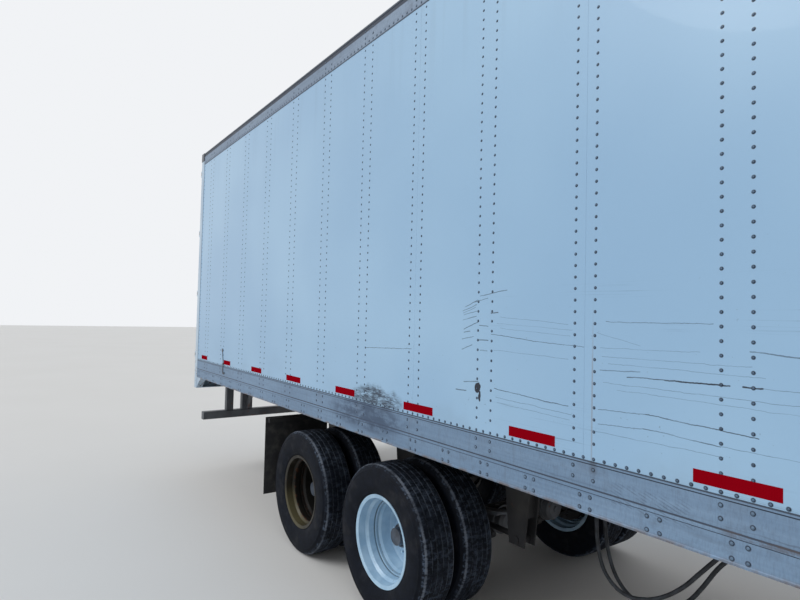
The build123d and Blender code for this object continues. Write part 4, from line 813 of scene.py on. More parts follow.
def hose_rubber():
    """Ribbed air hose with the dust lying in its ribs."""
    finish = Finish("hose_rubber", 0.6)
    along = finish.attribute("hose_along")
    ribs = along.wave(0.0045) * 0.5 + 0.5
    dust = finish.speckle(0.07, detail=5)
    finish.ground(dust.fade(0.35, 0.7), (40, 44, 50), (76, 82, 90))
    finish.layer(ribs * 0.4, (24, 27, 32))
    finish.bump(ribs, 0.0008, 0.8)
    return finish.wear(dust * 0.2 + 0.5)


def deck_boards():
    """Laminated hardwood laid lengthwise, in narrow strips."""
    finish = Finish("deck_boards", 0.6)
    x, y, z = finish.place()
    strip = (y / 0.032).sum("FLOOR")
    shade = (strip * 12.9898).sum("SINE") * 0.5 + 0.5
    grain = finish.speckle(0.006, stretch=(60, 1, 1), detail=5)
    finish.ground(shade, (120, 84, 52), (160, 120, 80))
    finish.layer(grain.fade(0.4, 0.7) * 0.6, (88, 60, 38))
    track = finish.speckle(0.6, stretch=(5, 1, 1), detail=4).fade(0.45, 0.7)
    finish.layer(track * 0.5, (84, 78, 72))
    seam = abs(y / 0.032 - strip - 0.5).fade(0.44, 0.49)
    finish.bump(grain * 0.4 - seam, 0.0012, 0.6)
    return finish.wear(track * 0.15 + 0.55)


def lamp_plastic(name, lit, deep):
    """Clear coloured lens over square prisms."""
    finish = Finish(name, 0.12, coat=0.6)
    x, y, z = finish.place()
    prism = (y.wave(0.006) * z.wave(0.006)) * 0.5 + 0.5
    dirt = finish.speckle(0.05, detail=5).fade(0.55, 0.75)
    finish.ground(prism, deep, lit)
    finish.layer(dirt * 0.4, (84, 74, 66))
    finish.bump(prism, 0.001, 0.6)
    return finish.wear(dirt * 0.4 + 0.12)


add_finishes(
    boards=deck_boards(), tyre=tyre_rubber(), hose=hose_rubber(),
    rubber_black=dull_rubber("dull_rubber", (30, 31, 34), 0.5),
    lamp_red=lamp_plastic("lamp_red", (176, 24, 26), (96, 8, 12)),
    lamp_amber=lamp_plastic("lamp_amber", (226, 128, 22), (150, 70, 8)),
)

# %% [markdown]
# A wheel ages in rings round its axle, so its finish works from the distance to that axle: rust starts at
# the steps of the rim and round the nuts, and oil darkens the hub cap. The front axle has white wheels and
# the rear one old brown wheels with hardly any white left.

# %% Wheel enamel


def wheel_enamel(name, axle_x, base, worn, rust):
    """Disc wheel: enamel over rim, disc and hub, rust at the steps and on the drum, and a dark hub cap."""
    finish = Finish(name, 0.4, coat=0.0 if rust else 0.1, specular=0.2 if rust else 0.5)
    x, y, z = finish.place()
    across, upright = x - axle_x, z - AXLE_Z
    radius = (across * across + upright * upright).sum("SQRT")
    cloud = finish.speckle(0.09, detail=5)
    finish.ground(cloud.fade(0.35, 0.7), base, worn)
    bite = finish.speckle(0.028, detail=7, rough=0.72, shift=(1, 3, 5))
    step = radius.band(0.240, 0.247, 0.004).most(radius.band(0.257, 0.263, 0.004)) * 0.10
    nuts = radius.band(0.115, 0.165, 0.012) * 0.08
    eaten = bite + step + nuts + rust * 0.3
    bitten = eaten.fade(0.70, 0.76)
    finish.layer(bitten * 0.9, RUST)
    finish.layer(eaten.fade(0.78, 0.86), DARK_RUST)
    if rust:
        # Painted shade deep inside the rear wheels' rims.
        deep = abs(y).fade(DUAL_CENTRE + 0.255, DUAL_CENTRE + 0.160) * radius.fade(0.298, 0.280)
        finish.layer(deep * 0.85, (16, 16, 16))
        # A painted patch of light on the lower rear part of the rim's lip.
        lit_lip = radius.band(0.262, 0.300, 0.006) * upright.fade(0.02, -0.15) * across.fade(0.18, -0.10)
        finish.layer(lit_lip * 0.5, (104, 98, 70))
    else:
        # Painted shade: dark lines in the steps between the disc and the rim.
        shade_lines = radius.band(0.2535, 0.2565, 0.0010).most(radius.band(0.2410, 0.2425, 0.0010) * 0.4)
        shade_lines = shade_lines * abs(y).band(DUAL_CENTRE + 0.1, DUAL_CENTRE + 0.155, 0.01)
        finish.layer(shade_lines * (cloud * 0.6 + 0.4), (52, 62, 72))
        stain = radius.band(0.205, 0.240, 0.012) * (upright + across * 0.6).fade(0.10, 0.20)
        finish.layer(stain * bite.fade(0.42, 0.58) * 0.7, (116, 108, 94))
        flange = radius.fade(0.110, 0.112) * radius.fade(0.124, 0.114) * cloud.fade(0.4, 0.6)
        finish.layer(flange * 0.6, (140, 128, 112))
    drum = abs(y).fade(DUAL_CENTRE - 0.0115, DUAL_CENTRE - 0.0150) * radius.fade(0.2240, 0.2225)
    finish.layer(drum, finish.blend(bite, (38, 30, 26), (22, 21, 22)))
    neck = radius.band(0.0765, 0.0850, 0.002) * abs(y).fade(DUAL_CENTRE + 0.025, DUAL_CENTRE + 0.040)
    finish.layer(neck * 0.85, (26, 28, 34))
    cap = radius.fade(0.0790, 0.0745) * abs(y).fade(DUAL_CENTRE + 0.098, DUAL_CENTRE + 0.106)
    iron = finish.blend(cloud.fade(0.3, 0.7), (44, 50, 60), (74, 82, 94))
    finish.layer(cap, iron)
    finish.bump(cloud * 0.4 - bitten * 0.6, 0.001, 0.6)
    return finish.wear(bitten * 0.35 + 0.36)


WHEELS = [(side, row) for side in ("left", "right") for row in ("front", "rear")]
AXLE_X = {row: sum(corner.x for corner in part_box(f"wheel_left_{row}")) / 2 for row in ("front", "rear")}
WHEEL_FINISH = {
    # The white wheels have the same painted blue cast of sky shade.
    "front": wheel_enamel("wheel_white", AXLE_X["front"], (150, 184, 210), (172, 202, 224), 0.0),
    "rear": wheel_enamel("wheel_rusty", AXLE_X["rear"], (46, 44, 38), (34, 32, 28), 0.30),
}
print("axles at", {row: round(x, 3) for row, x in AXLE_X.items()})

# %% Every carried-over node gets its finish
slots = {entry["node"]: entry["material_slot"] for entry in frame["record"]["subparts"]}
for node, piece in frame["nodes"].items():
    if node.startswith("wheel_"):
        material = WHEEL_FINISH[node.split("_")[2]]
    else:
        material = FINISHES["front_white" if node == "front_panels" else slots[node]]
    piece.data.materials.clear()
    piece.data.materials.append(material)
print("finished", len(frame["nodes"]), "nodes with", len(bpy.data.materials), "materials")

# %% [markdown]
# A hose is fixed to the body at one end and to the sliding tandem at the other. The distance along the hose
# goes onto its vertices, because the ribs of the rubber follow it.

# %% Ribs and rubber for the hoses
for node, tube in hoses.items():
    line = hose_lines[node]
    lengths = [0.0]
    for near, far in zip(line, line[1:]):
        lengths.append(lengths[-1] + (far - near).length)
    along = tube.data.attributes.new("hose_along", "FLOAT", "POINT")
    count = len(tube.data.vertices)
    along.data.foreach_set("value", [lengths[index // HOSE_SIDES] for index in range(count)])
    tube.data.materials.append(FINISHES["hose"])
    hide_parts(node)
    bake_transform(tube)
    print(tube.name, "declared,", round(lengths[-1], 3), "m")

# %% [markdown]
# The wall holds more than five thousand rivets. They all follow one rule, a grid of low domes on a face, so
# one Geometry Nodes tree makes them from a table of rows: how many columns and rows, how far apart, how
# large a head. The Points node places one point per head from its index, a shallow cone with a smaller top
# is set on each, and smooth shading turns its few faces into a dome. Instances are realized because a plain
# mesh is what is kept.

# %% A tree with named inputs


class Recipe(Nodes):
    """A Geometry Nodes tree with named inputs."""

    def __init__(self, name, inputs):
        super().__init__(bpy.data.node_groups.new(name, "GeometryNodeTree"))
        sockets = self.tree.interface
        sockets.new_socket("Geometry", in_out="OUTPUT", socket_type="NodeSocketGeometry")
        self.keys = {}
        for label, value in inputs.items():
            kind = "NodeSocketInt" if isinstance(value, int) else "NodeSocketFloat"
            made = sockets.new_socket(label, in_out="INPUT", socket_type=kind)
            made.default_value = value
            self.keys[label] = made.identifier
        made = sockets.new_socket("Material", in_out="INPUT", socket_type="NodeSocketMaterial")
        self.keys["Material"] = made.identifier
        self.given = self.tree.nodes.new("NodeGroupInput").outputs
        self.result = self.tree.nodes.new("NodeGroupOutput")
        self.index = self.node("GeometryNodeInputIndex").outputs[0]

    def maths(self, operation, first, second=0.0):
        return self.node("ShaderNodeMath", {"operation": operation}, {0: first, 1: second}).outputs[0]

    def put(self, x, y, count, piece, settings, smooth=True):
        """The piece at every point (x, y), realized, shaded and coloured as the tree's result."""
        place = self.node("ShaderNodeCombineXYZ", sockets={"X": x, "Y": y}).outputs[0]
        points = self.node("GeometryNodePoints", sockets={"Count": count, "Position": place}).outputs[0]
        settings = {"Points": points, "Instance": piece, **settings}
        last = self.node("GeometryNodeInstanceOnPoints", sockets=settings).outputs[0]
        for kind, more in (
            ("GeometryNodeRealizeInstances", {}),
            ("GeometryNodeSetShadeSmooth", {"Shade Smooth": smooth}),
            ("GeometryNodeSetMaterial", {"Material": self.given["Material"]}),
        ):
            last = self.node(kind, sockets={"Geometry": last, **more}).outputs[0]
        self.tree.links.new(last, self.result.inputs[0])

    def cone(self, radius, height):
        """A low cone with a smaller top, as wide and tall as those inputs say."""
        top = self.maths("MULTIPLY", self.given[radius], self.given["Top Share"])
        return self.node("GeometryNodeMeshCone", sockets={
            "Vertices": self.given["Sides"], "Radius Bottom": self.given[radius], "Radius Top": top,
            "Depth": self.given[height],
        }).outputs[0]

    def bake(self, values, matrix):
        """The tree's mesh for these inputs, moved to its place."""
        holder = linked("recipe", bpy.data.meshes.new("recipe"))
        modifier = holder.modifiers.new("recipe", "NODES")
        modifier.node_group = self.tree
        for label, value in values.items():
            modifier[self.keys[label]] = value
        graph = bpy.context.evaluated_depsgraph_get()
        mesh = bpy.data.meshes.new_from_object(holder.evaluated_get(graph))
        holder.modifiers.remove(modifier)
        bpy.data.objects.remove(holder)
        mesh.transform(matrix)
        return mesh

# %% The tree that sets heads in a grid


def head_grid():
    """Heads on an XY grid, rising along +Z, their sizes a little uneven."""
    recipe = Recipe("head_grid", {
        "Columns": 2, "Column Pitch": 0.05, "Rows": 2, "Row Pitch": 0.05,
        "Head Radius": 0.006, "Head Height": 0.0025, "Sides": 8, "Top Share": 0.55, "Seed": 1,
    })
    given = recipe.given
    column = recipe.maths("MODULO", recipe.index, given["Columns"])
    row = recipe.maths("FLOOR", recipe.maths("DIVIDE", recipe.index, given["Columns"]))
    x = recipe.maths("MULTIPLY", column, given["Column Pitch"])
    y = recipe.maths("MULTIPLY", row, given["Row Pitch"])
    count = recipe.maths("MULTIPLY", given["Columns"], given["Rows"])
    spread = {2: 0.90, 3: 1.0, "Seed": given["Seed"]}
    size = recipe.node("FunctionNodeRandomValue", {"data_type": "FLOAT"}, spread).outputs[1]
    recipe.put(x, y, count, recipe.cone("Head Radius", "Head Height"), {"Scale": size})
    return recipe


HEAD_GRID = head_grid()
ONE = (1, 0.05)
FACES = {"curb": (90, 0), "road": (90, 180), "nose": (90, 90), "rear": (90, -90), "up": (0, 0)}
TURN_TO_FACE = {face: Euler((math.radians(tip), 0, math.radians(turn))).to_matrix().to_4x4()
                for face, (tip, turn) in FACES.items()}
print("head grid:", len(HEAD_GRID.tree.nodes), "nodes,", len(HEAD_GRID.keys), "inputs, faces", list(FACES))

# %% Heads become pieces


def joined(name, meshes):
    """One mesh object from several meshes that share a material."""
    shape = bmesh.new()
    for mesh in meshes:
        shape.from_mesh(mesh)
    for face in shape.faces:
        face.material_index = 0
    piece = shaped(name, shape, meshes[0].materials[-1])
    for mesh in meshes:
        bpy.data.meshes.remove(mesh)
    return piece


def kept(piece, body):
    """The piece goes with its body; its faces and material are printed."""
    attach(piece, body)
    print(piece.name, len(piece.data.polygons), "faces in", piece.data.materials[0].name)


def grid(face, start, size, columns=ONE, rows=ONE, sides=8, top=0.55):
    """A grid of heads: its inputs and place. Size is a radius and height, columns a count and pitch."""
    values = {"Columns": columns[0], "Column Pitch": columns[1], "Rows": rows[0], "Row Pitch": rows[1],
              "Head Radius": size[0], "Head Height": size[1], "Sides": sides, "Top Share": top}
    return values, Matrix.Translation(start) @ TURN_TO_FACE[face]


def heads(name, body, material, grids):
    """A piece made of several grids of heads, each with its own seed."""
    meshes = [HEAD_GRID.bake({**values, "Seed": seed, "Material": material}, place)
              for seed, (values, place) in enumerate(grids)]
    kept(joined(name, meshes), body)

# %% [markdown]
# On each side every post carries two rivet columns about four inches apart, the sheet's foot has one close
# row over the rail, and the rail itself has pairs under each post and groups of four at each cross-member.
# The far side is the same by mirroring, which needs its columns counted from the nose, because the grid
# always runs to its own right.

# %% Side rivets
WALL_ROWS = int((TOP_RAIL_UNDER - 0.02 - FIRST_ROW) / ROW_PITCH) + 1
WALL_SIZE = (0.0060, 0.0026)
REAR_COLUMN = 0.1270


def pair(columns, rows, size, first, half):
    """Two grids, one at each side of the first station; rows are their lowest z, pitch and count."""
    return [(columns, rows, size, first + shift) for shift in (-half, half)]


POST_COLUMNS, CROSS_COLUMNS = (POSTS, POST_PITCH), (CROSS_COUNT, CROSS_PITCH)
FOOT_COLUMNS = (FOOT_COUNT, ROW_PITCH)
SHEET_ROWS = (FIRST_ROW, ROW_PITCH, WALL_ROWS)
SHEET_HEADS = [
    *pair(POST_COLUMNS, SHEET_ROWS, WALL_SIZE, FIRST_POST, PAIR_HALF),
    (FOOT_COLUMNS, (FOOT_ROW, ROW_PITCH, 1), (0.0068, 0.0030), FOOT_START),
    (ONE, SHEET_ROWS, WALL_SIZE, REAR_COLUMN),
]
RAIL_HEADS = [
    *pair(POST_COLUMNS, (*UPPER_BAND_ROWS, 2), (0.0082, 0.0029), FIRST_POST, PAIR_HALF),
    *pair(CROSS_COLUMNS, (*LOWER_BAND_ROWS, 2), (0.0086, 0.0029), FIRST_CROSS, CROSS_PAIR_HALF),
    (FOOT_COLUMNS, (TOP_FOOT_ROW, ROW_PITCH, 1), (0.0065, 0.0028), FOOT_START),
    *pair(POST_COLUMNS, (*TOP_BAND_ROWS, 2), (0.0070, 0.0028), FIRST_POST, PAIR_HALF),
]


def side_grids(face, table, depth):
    """The table's grids on one side; on the road side each is counted from the nose."""
    grids = []
    for columns, (low, step, count), size, station in table:
        first = station if face == "curb" else station + (columns[0] - 1) * columns[1]
        start = Vector((at(first), -depth if face == "curb" else depth, low))
        grids.append(grid(face, start, size, columns, (count, step)))
    return grids


def rivet_metal(name, rim, crown, axis, face):
    """Dull aluminium heads: painted shade round the rim, and a painted highlight on the crown."""
    finish = Finish(name, 0.5)
    rise = abs(finish.place()[axis]) - face
    cloud = finish.speckle(0.02, detail=3)
    wide = finish.speckle(0.5, detail=3, shift=(3, 1, 0))
    # Painted highlight and shade: the crown is paler and the rim darker, by height above the face.
    lit_crown = rise.fade(0.0006, 0.0024) * (cloud.fade(0.3, 0.6) * 0.5 + 0.5)
    finish.ground(lit_crown, rim, crown)
    finish.layer(wide.fade(0.5, 0.75) * 0.3, (44, 54, 68))
    return finish.wear(cloud * 0.2 + 0.4)


WALL_HEAD = rivet_metal("wall_rivet", (24, 36, 52), (78, 102, 128), 1, SKIN)
RAIL_HEAD = rivet_metal("rail_rivet", (44, 58, 76), (98, 122, 146), 1, RAIL_FACE)
for face in ("curb", "road"):
    heads(f"wall_rivets_{face}", "van", WALL_HEAD, side_grids(face, SHEET_HEADS, SKIN))
    heads(f"rail_rivets_{face}", "van", RAIL_HEAD, side_grids(face, RAIL_HEADS, RAIL_FACE))

# %% [markdown]
# The nose is sheet on posts as well: a pair of columns at each of its three seams, and one row along its
# foot and its top. The roof is one thin skin, so it is riveted only along its two edges, twice as far
# apart.

# %% Front and roof rivets
FRONT_SIZE, ROOF_SIZE = (0.0055, 0.0026), (0.0065, 0.0024)
FRONT_LOW, FRONT_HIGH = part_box("front_panels")
FRONT_FACE, FRONT_HALF = FRONT_HIGH.x, 0.5 * (FRONT_HIGH.y - FRONT_LOW.y)
SEAM_HALF = 0.018
ROOF_EDGE, ROOF_START, ROOF_COUNT = 1.272, 0.20, 155
SEAM_ROWS, EDGE_COUNT = 50, 45
EDGE_HALF = (EDGE_COUNT - 1) / 2 * ROW_PITCH
front, roof = [], []
for seam in (-FRONT_HALF / 2, 0.0, FRONT_HALF / 2):
    for shift in (-SEAM_HALF, SEAM_HALF):
        start = Vector((FRONT_FACE, seam + shift, RAIL_TOP + 0.02))
        front.append(grid("nose", start, FRONT_SIZE, rows=(SEAM_ROWS, ROW_PITCH)))
for low in (RAIL_TOP + 0.022, TOP_RAIL_UNDER - 0.022):
    front.append(grid("nose", Vector((FRONT_FACE, -EDGE_HALF, low)), FRONT_SIZE, (EDGE_COUNT, ROW_PITCH)))
for edge in (-ROOF_EDGE, ROOF_EDGE):
    start = Vector((at(ROOF_START), edge, ROOF_TOP))
    roof.append(grid("up", start, ROOF_SIZE, (ROOF_COUNT, 2 * ROW_PITCH)))
FRONT_HEAD = rivet_metal("front_rivet", (34, 46, 62), (98, 124, 150), 0, FRONT_FACE)
ROOF_HEAD = rivet_metal("roof_rivet", (96, 100, 106), (156, 162, 168), 2, ROOF_TOP)
heads("front_rivets", "van", FRONT_HEAD, front)
heads("roof_rivets", "van", ROOF_HEAD, roof)

# %% [markdown]
# Road tyres are revolved from one profile with four straight grooves cut into a flat tread. The profile
# follows the solid tyre's outline, so the piece that replaces it keeps its form. The grooves' walls zigzag
# a little from one segment to the next, as siped ribs do, and each vertex keeps its distance from the axle
# as an attribute, which the rubber finish reads to put chalk on the shoulders.

# %% Tyres
TYRE_SEGMENTS = 132
TYRE_SPACING = 0.330
TYRE_RADIUS = 0.508
GROOVE_FLOOR = TYRE_RADIUS - 0.009
GROOVE_HALF = 0.0045
ZIGZAG = 0.0012
SHARP = math.radians(38)

# Sidewall outline as (radius, offset from the tyre's middle), from the bead to the tread's edge
TYRE_SIDE = [
    (0.2862, 0.1030), (0.2960, 0.1068), (0.3035, 0.1095), (0.3060, 0.1120), (0.3100, 0.1180),
    (0.3180, 0.1220), (0.3240, 0.1232), (0.3400, 0.1288), (0.3600, 0.1340), (0.3850, 0.1380),
    (0.4150, 0.1400), (0.4400, 0.1385), (0.4560, 0.1360), (0.4580, 0.1372), (0.4660, 0.1352),
    (0.4680, 0.1322), (0.4820, 0.1262), (0.4940, 0.1180), (0.4990, 0.1120), (0.5030, 0.1060),
    (0.5060, 0.1000), (0.5072, 0.0960),
]
GROOVE_PLACES = (-0.064, -0.022, 0.022, 0.064)


def tyre_outline():
    """The whole closed section of a tyre, as (radius, offset, zigzag share)."""
    outline = [(radius, -offset, 0.0) for radius, offset in TYRE_SIDE]
    top, floor = (TYRE_RADIUS, GROOVE_HALF + 0.0005), (GROOVE_FLOOR, GROOVE_HALF - 0.0015)
    for middle in GROOVE_PLACES:
        for (radius, half), sign in ((top, -1), (floor, -1), (floor, 1), (top, 1)):
            outline.append((radius, middle + sign * half, 1.0))
    outline += [(radius, offset, 0.0) for radius, offset in reversed(TYRE_SIDE)]
    return outline


def add_tyre(shape, layer, axle_x, middle):
    """One tyre in an open mesh, its section turned round the axle."""
    outline = tyre_outline()
    rings = []
    for segment in range(TYRE_SEGMENTS):
        turn = math.tau * segment / TYRE_SEGMENTS
        wander = ZIGZAG if segment % 2 else -ZIGZAG
        ring = []
        for radius, offset, share in outline:
            place = Vector((axle_x + radius * math.cos(turn), middle + offset + wander * share,
                            AXLE_Z + radius * math.sin(turn)))
            vertex = shape.verts.new(place)
            vertex[layer] = radius
            ring.append(vertex)
        rings.append(ring)
    for near, far in zip(rings, rings[1:] + rings[:1]):
        for step in range(len(outline)):
            after = (step + 1) % len(outline)
            shape.faces.new((near[step], near[after], far[after], far[step]))


def road_tyres(side, row):
    """The twin tyres of one wheel end."""
    shape = bmesh.new()
    layer = shape.verts.layers.float.new("tyre_radius")
    sign = 1 if side == "left" else -1
    for step in (-0.5, 0.5):
        add_tyre(shape, layer, AXLE_X[row], sign * (DUAL_CENTRE + step * TYRE_SPACING))
    bmesh.ops.recalc_face_normals(shape, faces=shape.faces)
    for face in shape.faces:
        face.smooth = True
    for edge in shape.edges:
        edge.smooth = edge.calc_face_angle(0) < SHARP
    piece = shaped(f"road_tyres_{side}_{row}", shape, FINISHES["tyre"])
    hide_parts(f"tyres_{side}_{row}")
    kept(piece, f"wheel_{side}_{row}")


for side, row in WHEELS:
    road_tyres(side, row)

# %% [markdown]
# Wheel nuts stand in a ring, so their tree turns the index into an angle instead of a grid place. The same
# tree sets the studs' ends, the washers and the hub cap's small bolts: only the count, the circle and the
# size of each change. The nuts stay flat-shaded, because a nut is known by its six hard faces.

# %% The tree that sets nuts in a ring


def nut_ring():
    """Six-sided nuts or round studs evenly round a circle, rising along +Z."""
    recipe = Recipe("nut_ring", {
        "Count": 10, "Ring Radius": 0.143, "Nut Radius": 0.019, "Nut Height": 0.02,
        "Sides": 6, "Top Share": 0.9,
    })
    given = recipe.given
    angle = recipe.maths("DIVIDE", recipe.maths("MULTIPLY", recipe.index, math.tau), given["Count"])
    x, y = (recipe.maths("MULTIPLY", recipe.maths(part, angle), given["Ring Radius"])
            for part in ("COSINE", "SINE"))
    spin = recipe.node("ShaderNodeCombineXYZ", sockets={"Z": angle}).outputs[0]
    turned = recipe.node("FunctionNodeEulerToRotation", sockets={"Euler": spin}).outputs[0]
    nut = recipe.cone("Nut Radius", "Nut Height")
    recipe.put(x, y, given["Count"], nut, {"Rotation": turned}, smooth=False)
    return recipe


NUT_RING = nut_ring()
print("nut ring:", len(NUT_RING.tree.nodes), "nodes")

# %% Wheel nuts
# Columns: count, ring radius, nut radius, height, sides, top share, distance out from the twins' middle
WHEEL_RINGS = [
    (10, 0.1429, 0.0230, 0.004, 16, 0.95, 0.0110),
    (10, 0.1429, 0.0190, 0.024, 6, 0.90, 0.0145),
    (10, 0.1429, 0.0105, 0.048, 10, 0.90, 0.0110),
    (6, 0.0670, 0.0060, 0.006, 6, 0.90, CAP_BOLT_OUT),
]

for side, row in WHEELS:
    sign, face = (1, "road") if side == "left" else (-1, "curb")
    meshes = []
    for count, ring, radius, height, sides, top, out in WHEEL_RINGS:
        values = {"Count": count, "Ring Radius": ring, "Nut Radius": radius, "Nut Height": height,
                  "Sides": sides, "Top Share": top, "Material": WHEEL_FINISH[row]}
        spot = Vector((AXLE_X[row], sign * (DUAL_CENTRE + out), AXLE_Z))
        meshes.append(NUT_RING.bake(values, Matrix.Translation(spot) @ TURN_TO_FACE[face]))
    kept(joined(f"wheel_nuts_{side}_{row}", meshes), f"wheel_{side}_{row}")

# %% [markdown]
# Reflective strips along the sides are two inches tall and were cut by hand, so their lengths and gaps
# vary. Each is a thin plate just proud of the sheet. Under its clear face the film is a fine quilt of
# cells, which shows as a regular bump, and the edges have gone dark with dirt.

# %% Reflective strips
STRIP_TALL = 0.0480
STRIP_THICK = 0.0006
STRIP_FOOT = RAIL_TOP + 0.0210

# Columns: start station, stop station, lift of the stop end in mm
SIDE_STRIPS = [
    (0.269, 0.504, 0), (1.139, 1.364, 1), (2.007, 2.276, 0), (2.864, 3.150, -1), (3.757, 4.035, 0),
    (4.630, 4.917, 1), (5.513, 5.793, 0), (6.407, 6.690, 1), (7.320, 7.600, 0), (8.235, 8.515, -1),
    (9.150, 9.430, 0), (10.065, 10.345, 1), (10.980, 11.260, 0), (11.890, 12.170, 0), (12.805, 13.085, -1),
    (13.720, 14.000, 0), (14.635, 14.915, 1), (15.550, 15.830, 0),
]


def strip_film(name, lit, deep):
    """Prismatic film: small cells under a clear face."""
    finish = Finish(name, 0.55, specular=0.0)
    x, y, z = finish.place()
    cell = ((x + z).wave(0.009) * (x - z).wave(0.009)) * 0.5 + 0.5
    cloud = finish.speckle(0.12, detail=5)
    finish.ground(cell * 0.5 + cloud * 0.5, deep, lit)
    dirt = finish.speckle(0.03, stretch=(1, 1, 3), detail=6, shift=(0, 0, 3)).fade(0.60, 0.78) * 0.5
    finish.layer(dirt, (70, 40, 42))
    finish.bump(cell, 0.0004, 0.5)
    return finish.wear(dirt * 0.2 + 0.5)


STRIP_RED = strip_film("strip_red", (152, 4, 22), (120, 2, 15))
STRIP_WHITE = strip_film("strip_white", (214, 218, 220), (188, 194, 198))


def plates(name, body, material, table):
    """Thin closed plates as one piece. Each entry is four corners and the push that gives the thickness."""
    shape = bmesh.new()
    for corners, push in table:
        lower = [shape.verts.new(corner) for corner in corners]
        upper = [shape.verts.new(corner + push) for corner in corners]
        shape.faces.new(lower)
        shape.faces.new(list(reversed(upper)))
        for index in range(4):
            after = (index + 1) % 4
            shape.faces.new((lower[index], upper[index], upper[after], lower[after]))
    bmesh.ops.recalc_face_normals(shape, faces=shape.faces)
    kept(shaped(name, shape, material), body)


side_strips = []
for sign in (-1, 1):
    for start, stop, lift in SIDE_STRIPS:
        ends = ((start, 0.0), (stop, lift * MM), (stop, lift * MM + STRIP_TALL), (start, STRIP_TALL))
        corners = [Vector((at(station), sign * SKIN, STRIP_FOOT + z)) for station, z in ends]
        side_strips.append((corners, Vector((0, sign * STRIP_THICK, 0))))
plates("side_strips", "van", STRIP_RED, side_strips)

# %% [markdown]
# The rear carries red and white strips in turn along the doors' foot and the guard, white corners at the
# top and a blank plate by the lamps. Each door has a dark rubber seal round its edge, and bolts through its
# hinge straps and through the lock rod's guides.

# %% Rear trim
SEAL = dull_rubber("door_seal", (24, 25, 28), 0.35)
PLATE_TIN = dusty_paint("plate_tin", (196, 198, 198), (178, 180, 180), 0.45, 0.10, 0.20)
DOOR_IN, DOOR_OUT = 0.004, 1.2145
DOOR_FOOT, DOOR_HIGH = (corner.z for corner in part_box("door_left"))
HINGE_ROWS = (1.490, 2.280, 3.070, 3.860)
HINGE_FACE, HINGE_Y, HINGE_BOLTS = REAR - 0.0095, 1.150, 0.055
GUIDE_FACE, GUIDE_Y, GUIDE_BOLTS = REAR - 0.006, 0.210, 0.072
FIRST_GUIDE, GUIDE_PITCH, GUIDE_COUNT = 1.486, 0.776, 4
SEAL_WIDE, SEAL_THICK = 0.012, 0.0015
FOOT_SPAN, FOOT_STRIPS, FOOT_LOW, FOOT_HIGH = (0.03, 1.19), 6, DOOR_FOOT + 0.030, DOOR_FOOT + 0.080
GUARD_HALF, GUARD_STRIPS, GUARD_LOW, GUARD_HIGH = 1.155, 8, 0.665, 0.715

# Left, right, low and high edges
CORNER_STRIPS = [(0.90, 1.20, 3.975, 4.020), (1.15, 1.20, 4.020, 4.100)]
NUMBER_PLATE = (0.15, 0.455, 1.110, 1.262)
PLATE_THICK = 0.0012


def rear_plate(y0, y1, z0, z1, thick=STRIP_THICK):
    """Corners and push of a thin plate on the rear face."""
    corners = ((y0, z0), (y1, z0), (y1, z1), (y0, z1))
    return [Vector((REAR, y, z)) for y, z in corners], Vector((-thick, 0, 0))


def turns(y0, y1, count):
    """Equal spans from y0 to y1, for strips of two colours in turn."""
    step = (y1 - y0) / count
    return [(y0 + index * step, y0 + (index + 1) * step) for index in range(count)]


for side, sign in (("left", 1), ("right", -1)):
    body = f"door_{side}"
    spans = turns(*FOOT_SPAN, FOOT_STRIPS)
    foot = [rear_plate(sign * a, sign * b, FOOT_LOW, FOOT_HIGH) for a, b in spans]
    plates(f"foot_red_{side}", body, STRIP_RED, foot[::2])
    plates(f"foot_white_{side}", body, STRIP_WHITE, foot[1::2])
    inner, outer = DOOR_IN + SEAL_WIDE, DOOR_OUT - SEAL_WIDE
    edges = (
        (DOOR_IN, inner, DOOR_FOOT, DOOR_HIGH), (outer, DOOR_OUT, DOOR_FOOT, DOOR_HIGH),
        (inner, outer, DOOR_FOOT, DOOR_FOOT + SEAL_WIDE), (inner, outer, DOOR_HIGH - SEAL_WIDE, DOOR_HIGH),
    )
    seal = [rear_plate(sign * y0, sign * y1, z0, z1, SEAL_THICK) for y0, y1, z0, z1 in edges]
    plates(f"door_seal_{side}", body, SEAL, seal)
    bolts = []
    for z in HINGE_ROWS:
        start = Vector((HINGE_FACE, sign * HINGE_Y + HINGE_BOLTS / 2, z))
        bolts.append(grid("rear", start, (0.011, 0.005), (2, HINGE_BOLTS), sides=6, top=0.8))
    for index in range(GUIDE_COUNT):
        start = Vector((GUIDE_FACE, sign * GUIDE_Y + GUIDE_BOLTS / 2, FIRST_GUIDE + index * GUIDE_PITCH))
        bolts.append(grid("rear", start, (0.007, 0.004), (2, GUIDE_BOLTS), sides=6, top=0.8))
    heads(f"door_bolts_{side}", body, FINISHES["galvanised"], bolts)

spans = turns(-GUARD_HALF, GUARD_HALF, GUARD_STRIPS)
guard = [rear_plate(a, b, GUARD_LOW, GUARD_HIGH) for a, b in spans]
plates("guard_red", "van", STRIP_RED, guard[::2])
corners = [rear_plate(sign * y0, sign * y1, z0, z1) for sign in (-1, 1) for y0, y1, z0, z1 in CORNER_STRIPS]
plates("guard_white", "van", STRIP_WHITE, guard[1::2] + corners)
plates("blank_plate", "van", PLATE_TIN, [rear_plate(*NUMBER_PLATE, PLATE_THICK)])

# %% [markdown]
# Each spring is held down on its axle by two U-bolts. They are tubes swept along a short line, over the
# spring and down both its sides, with a plate and four nuts under the axle. Bolts also hold the mud flaps
# on their arms.

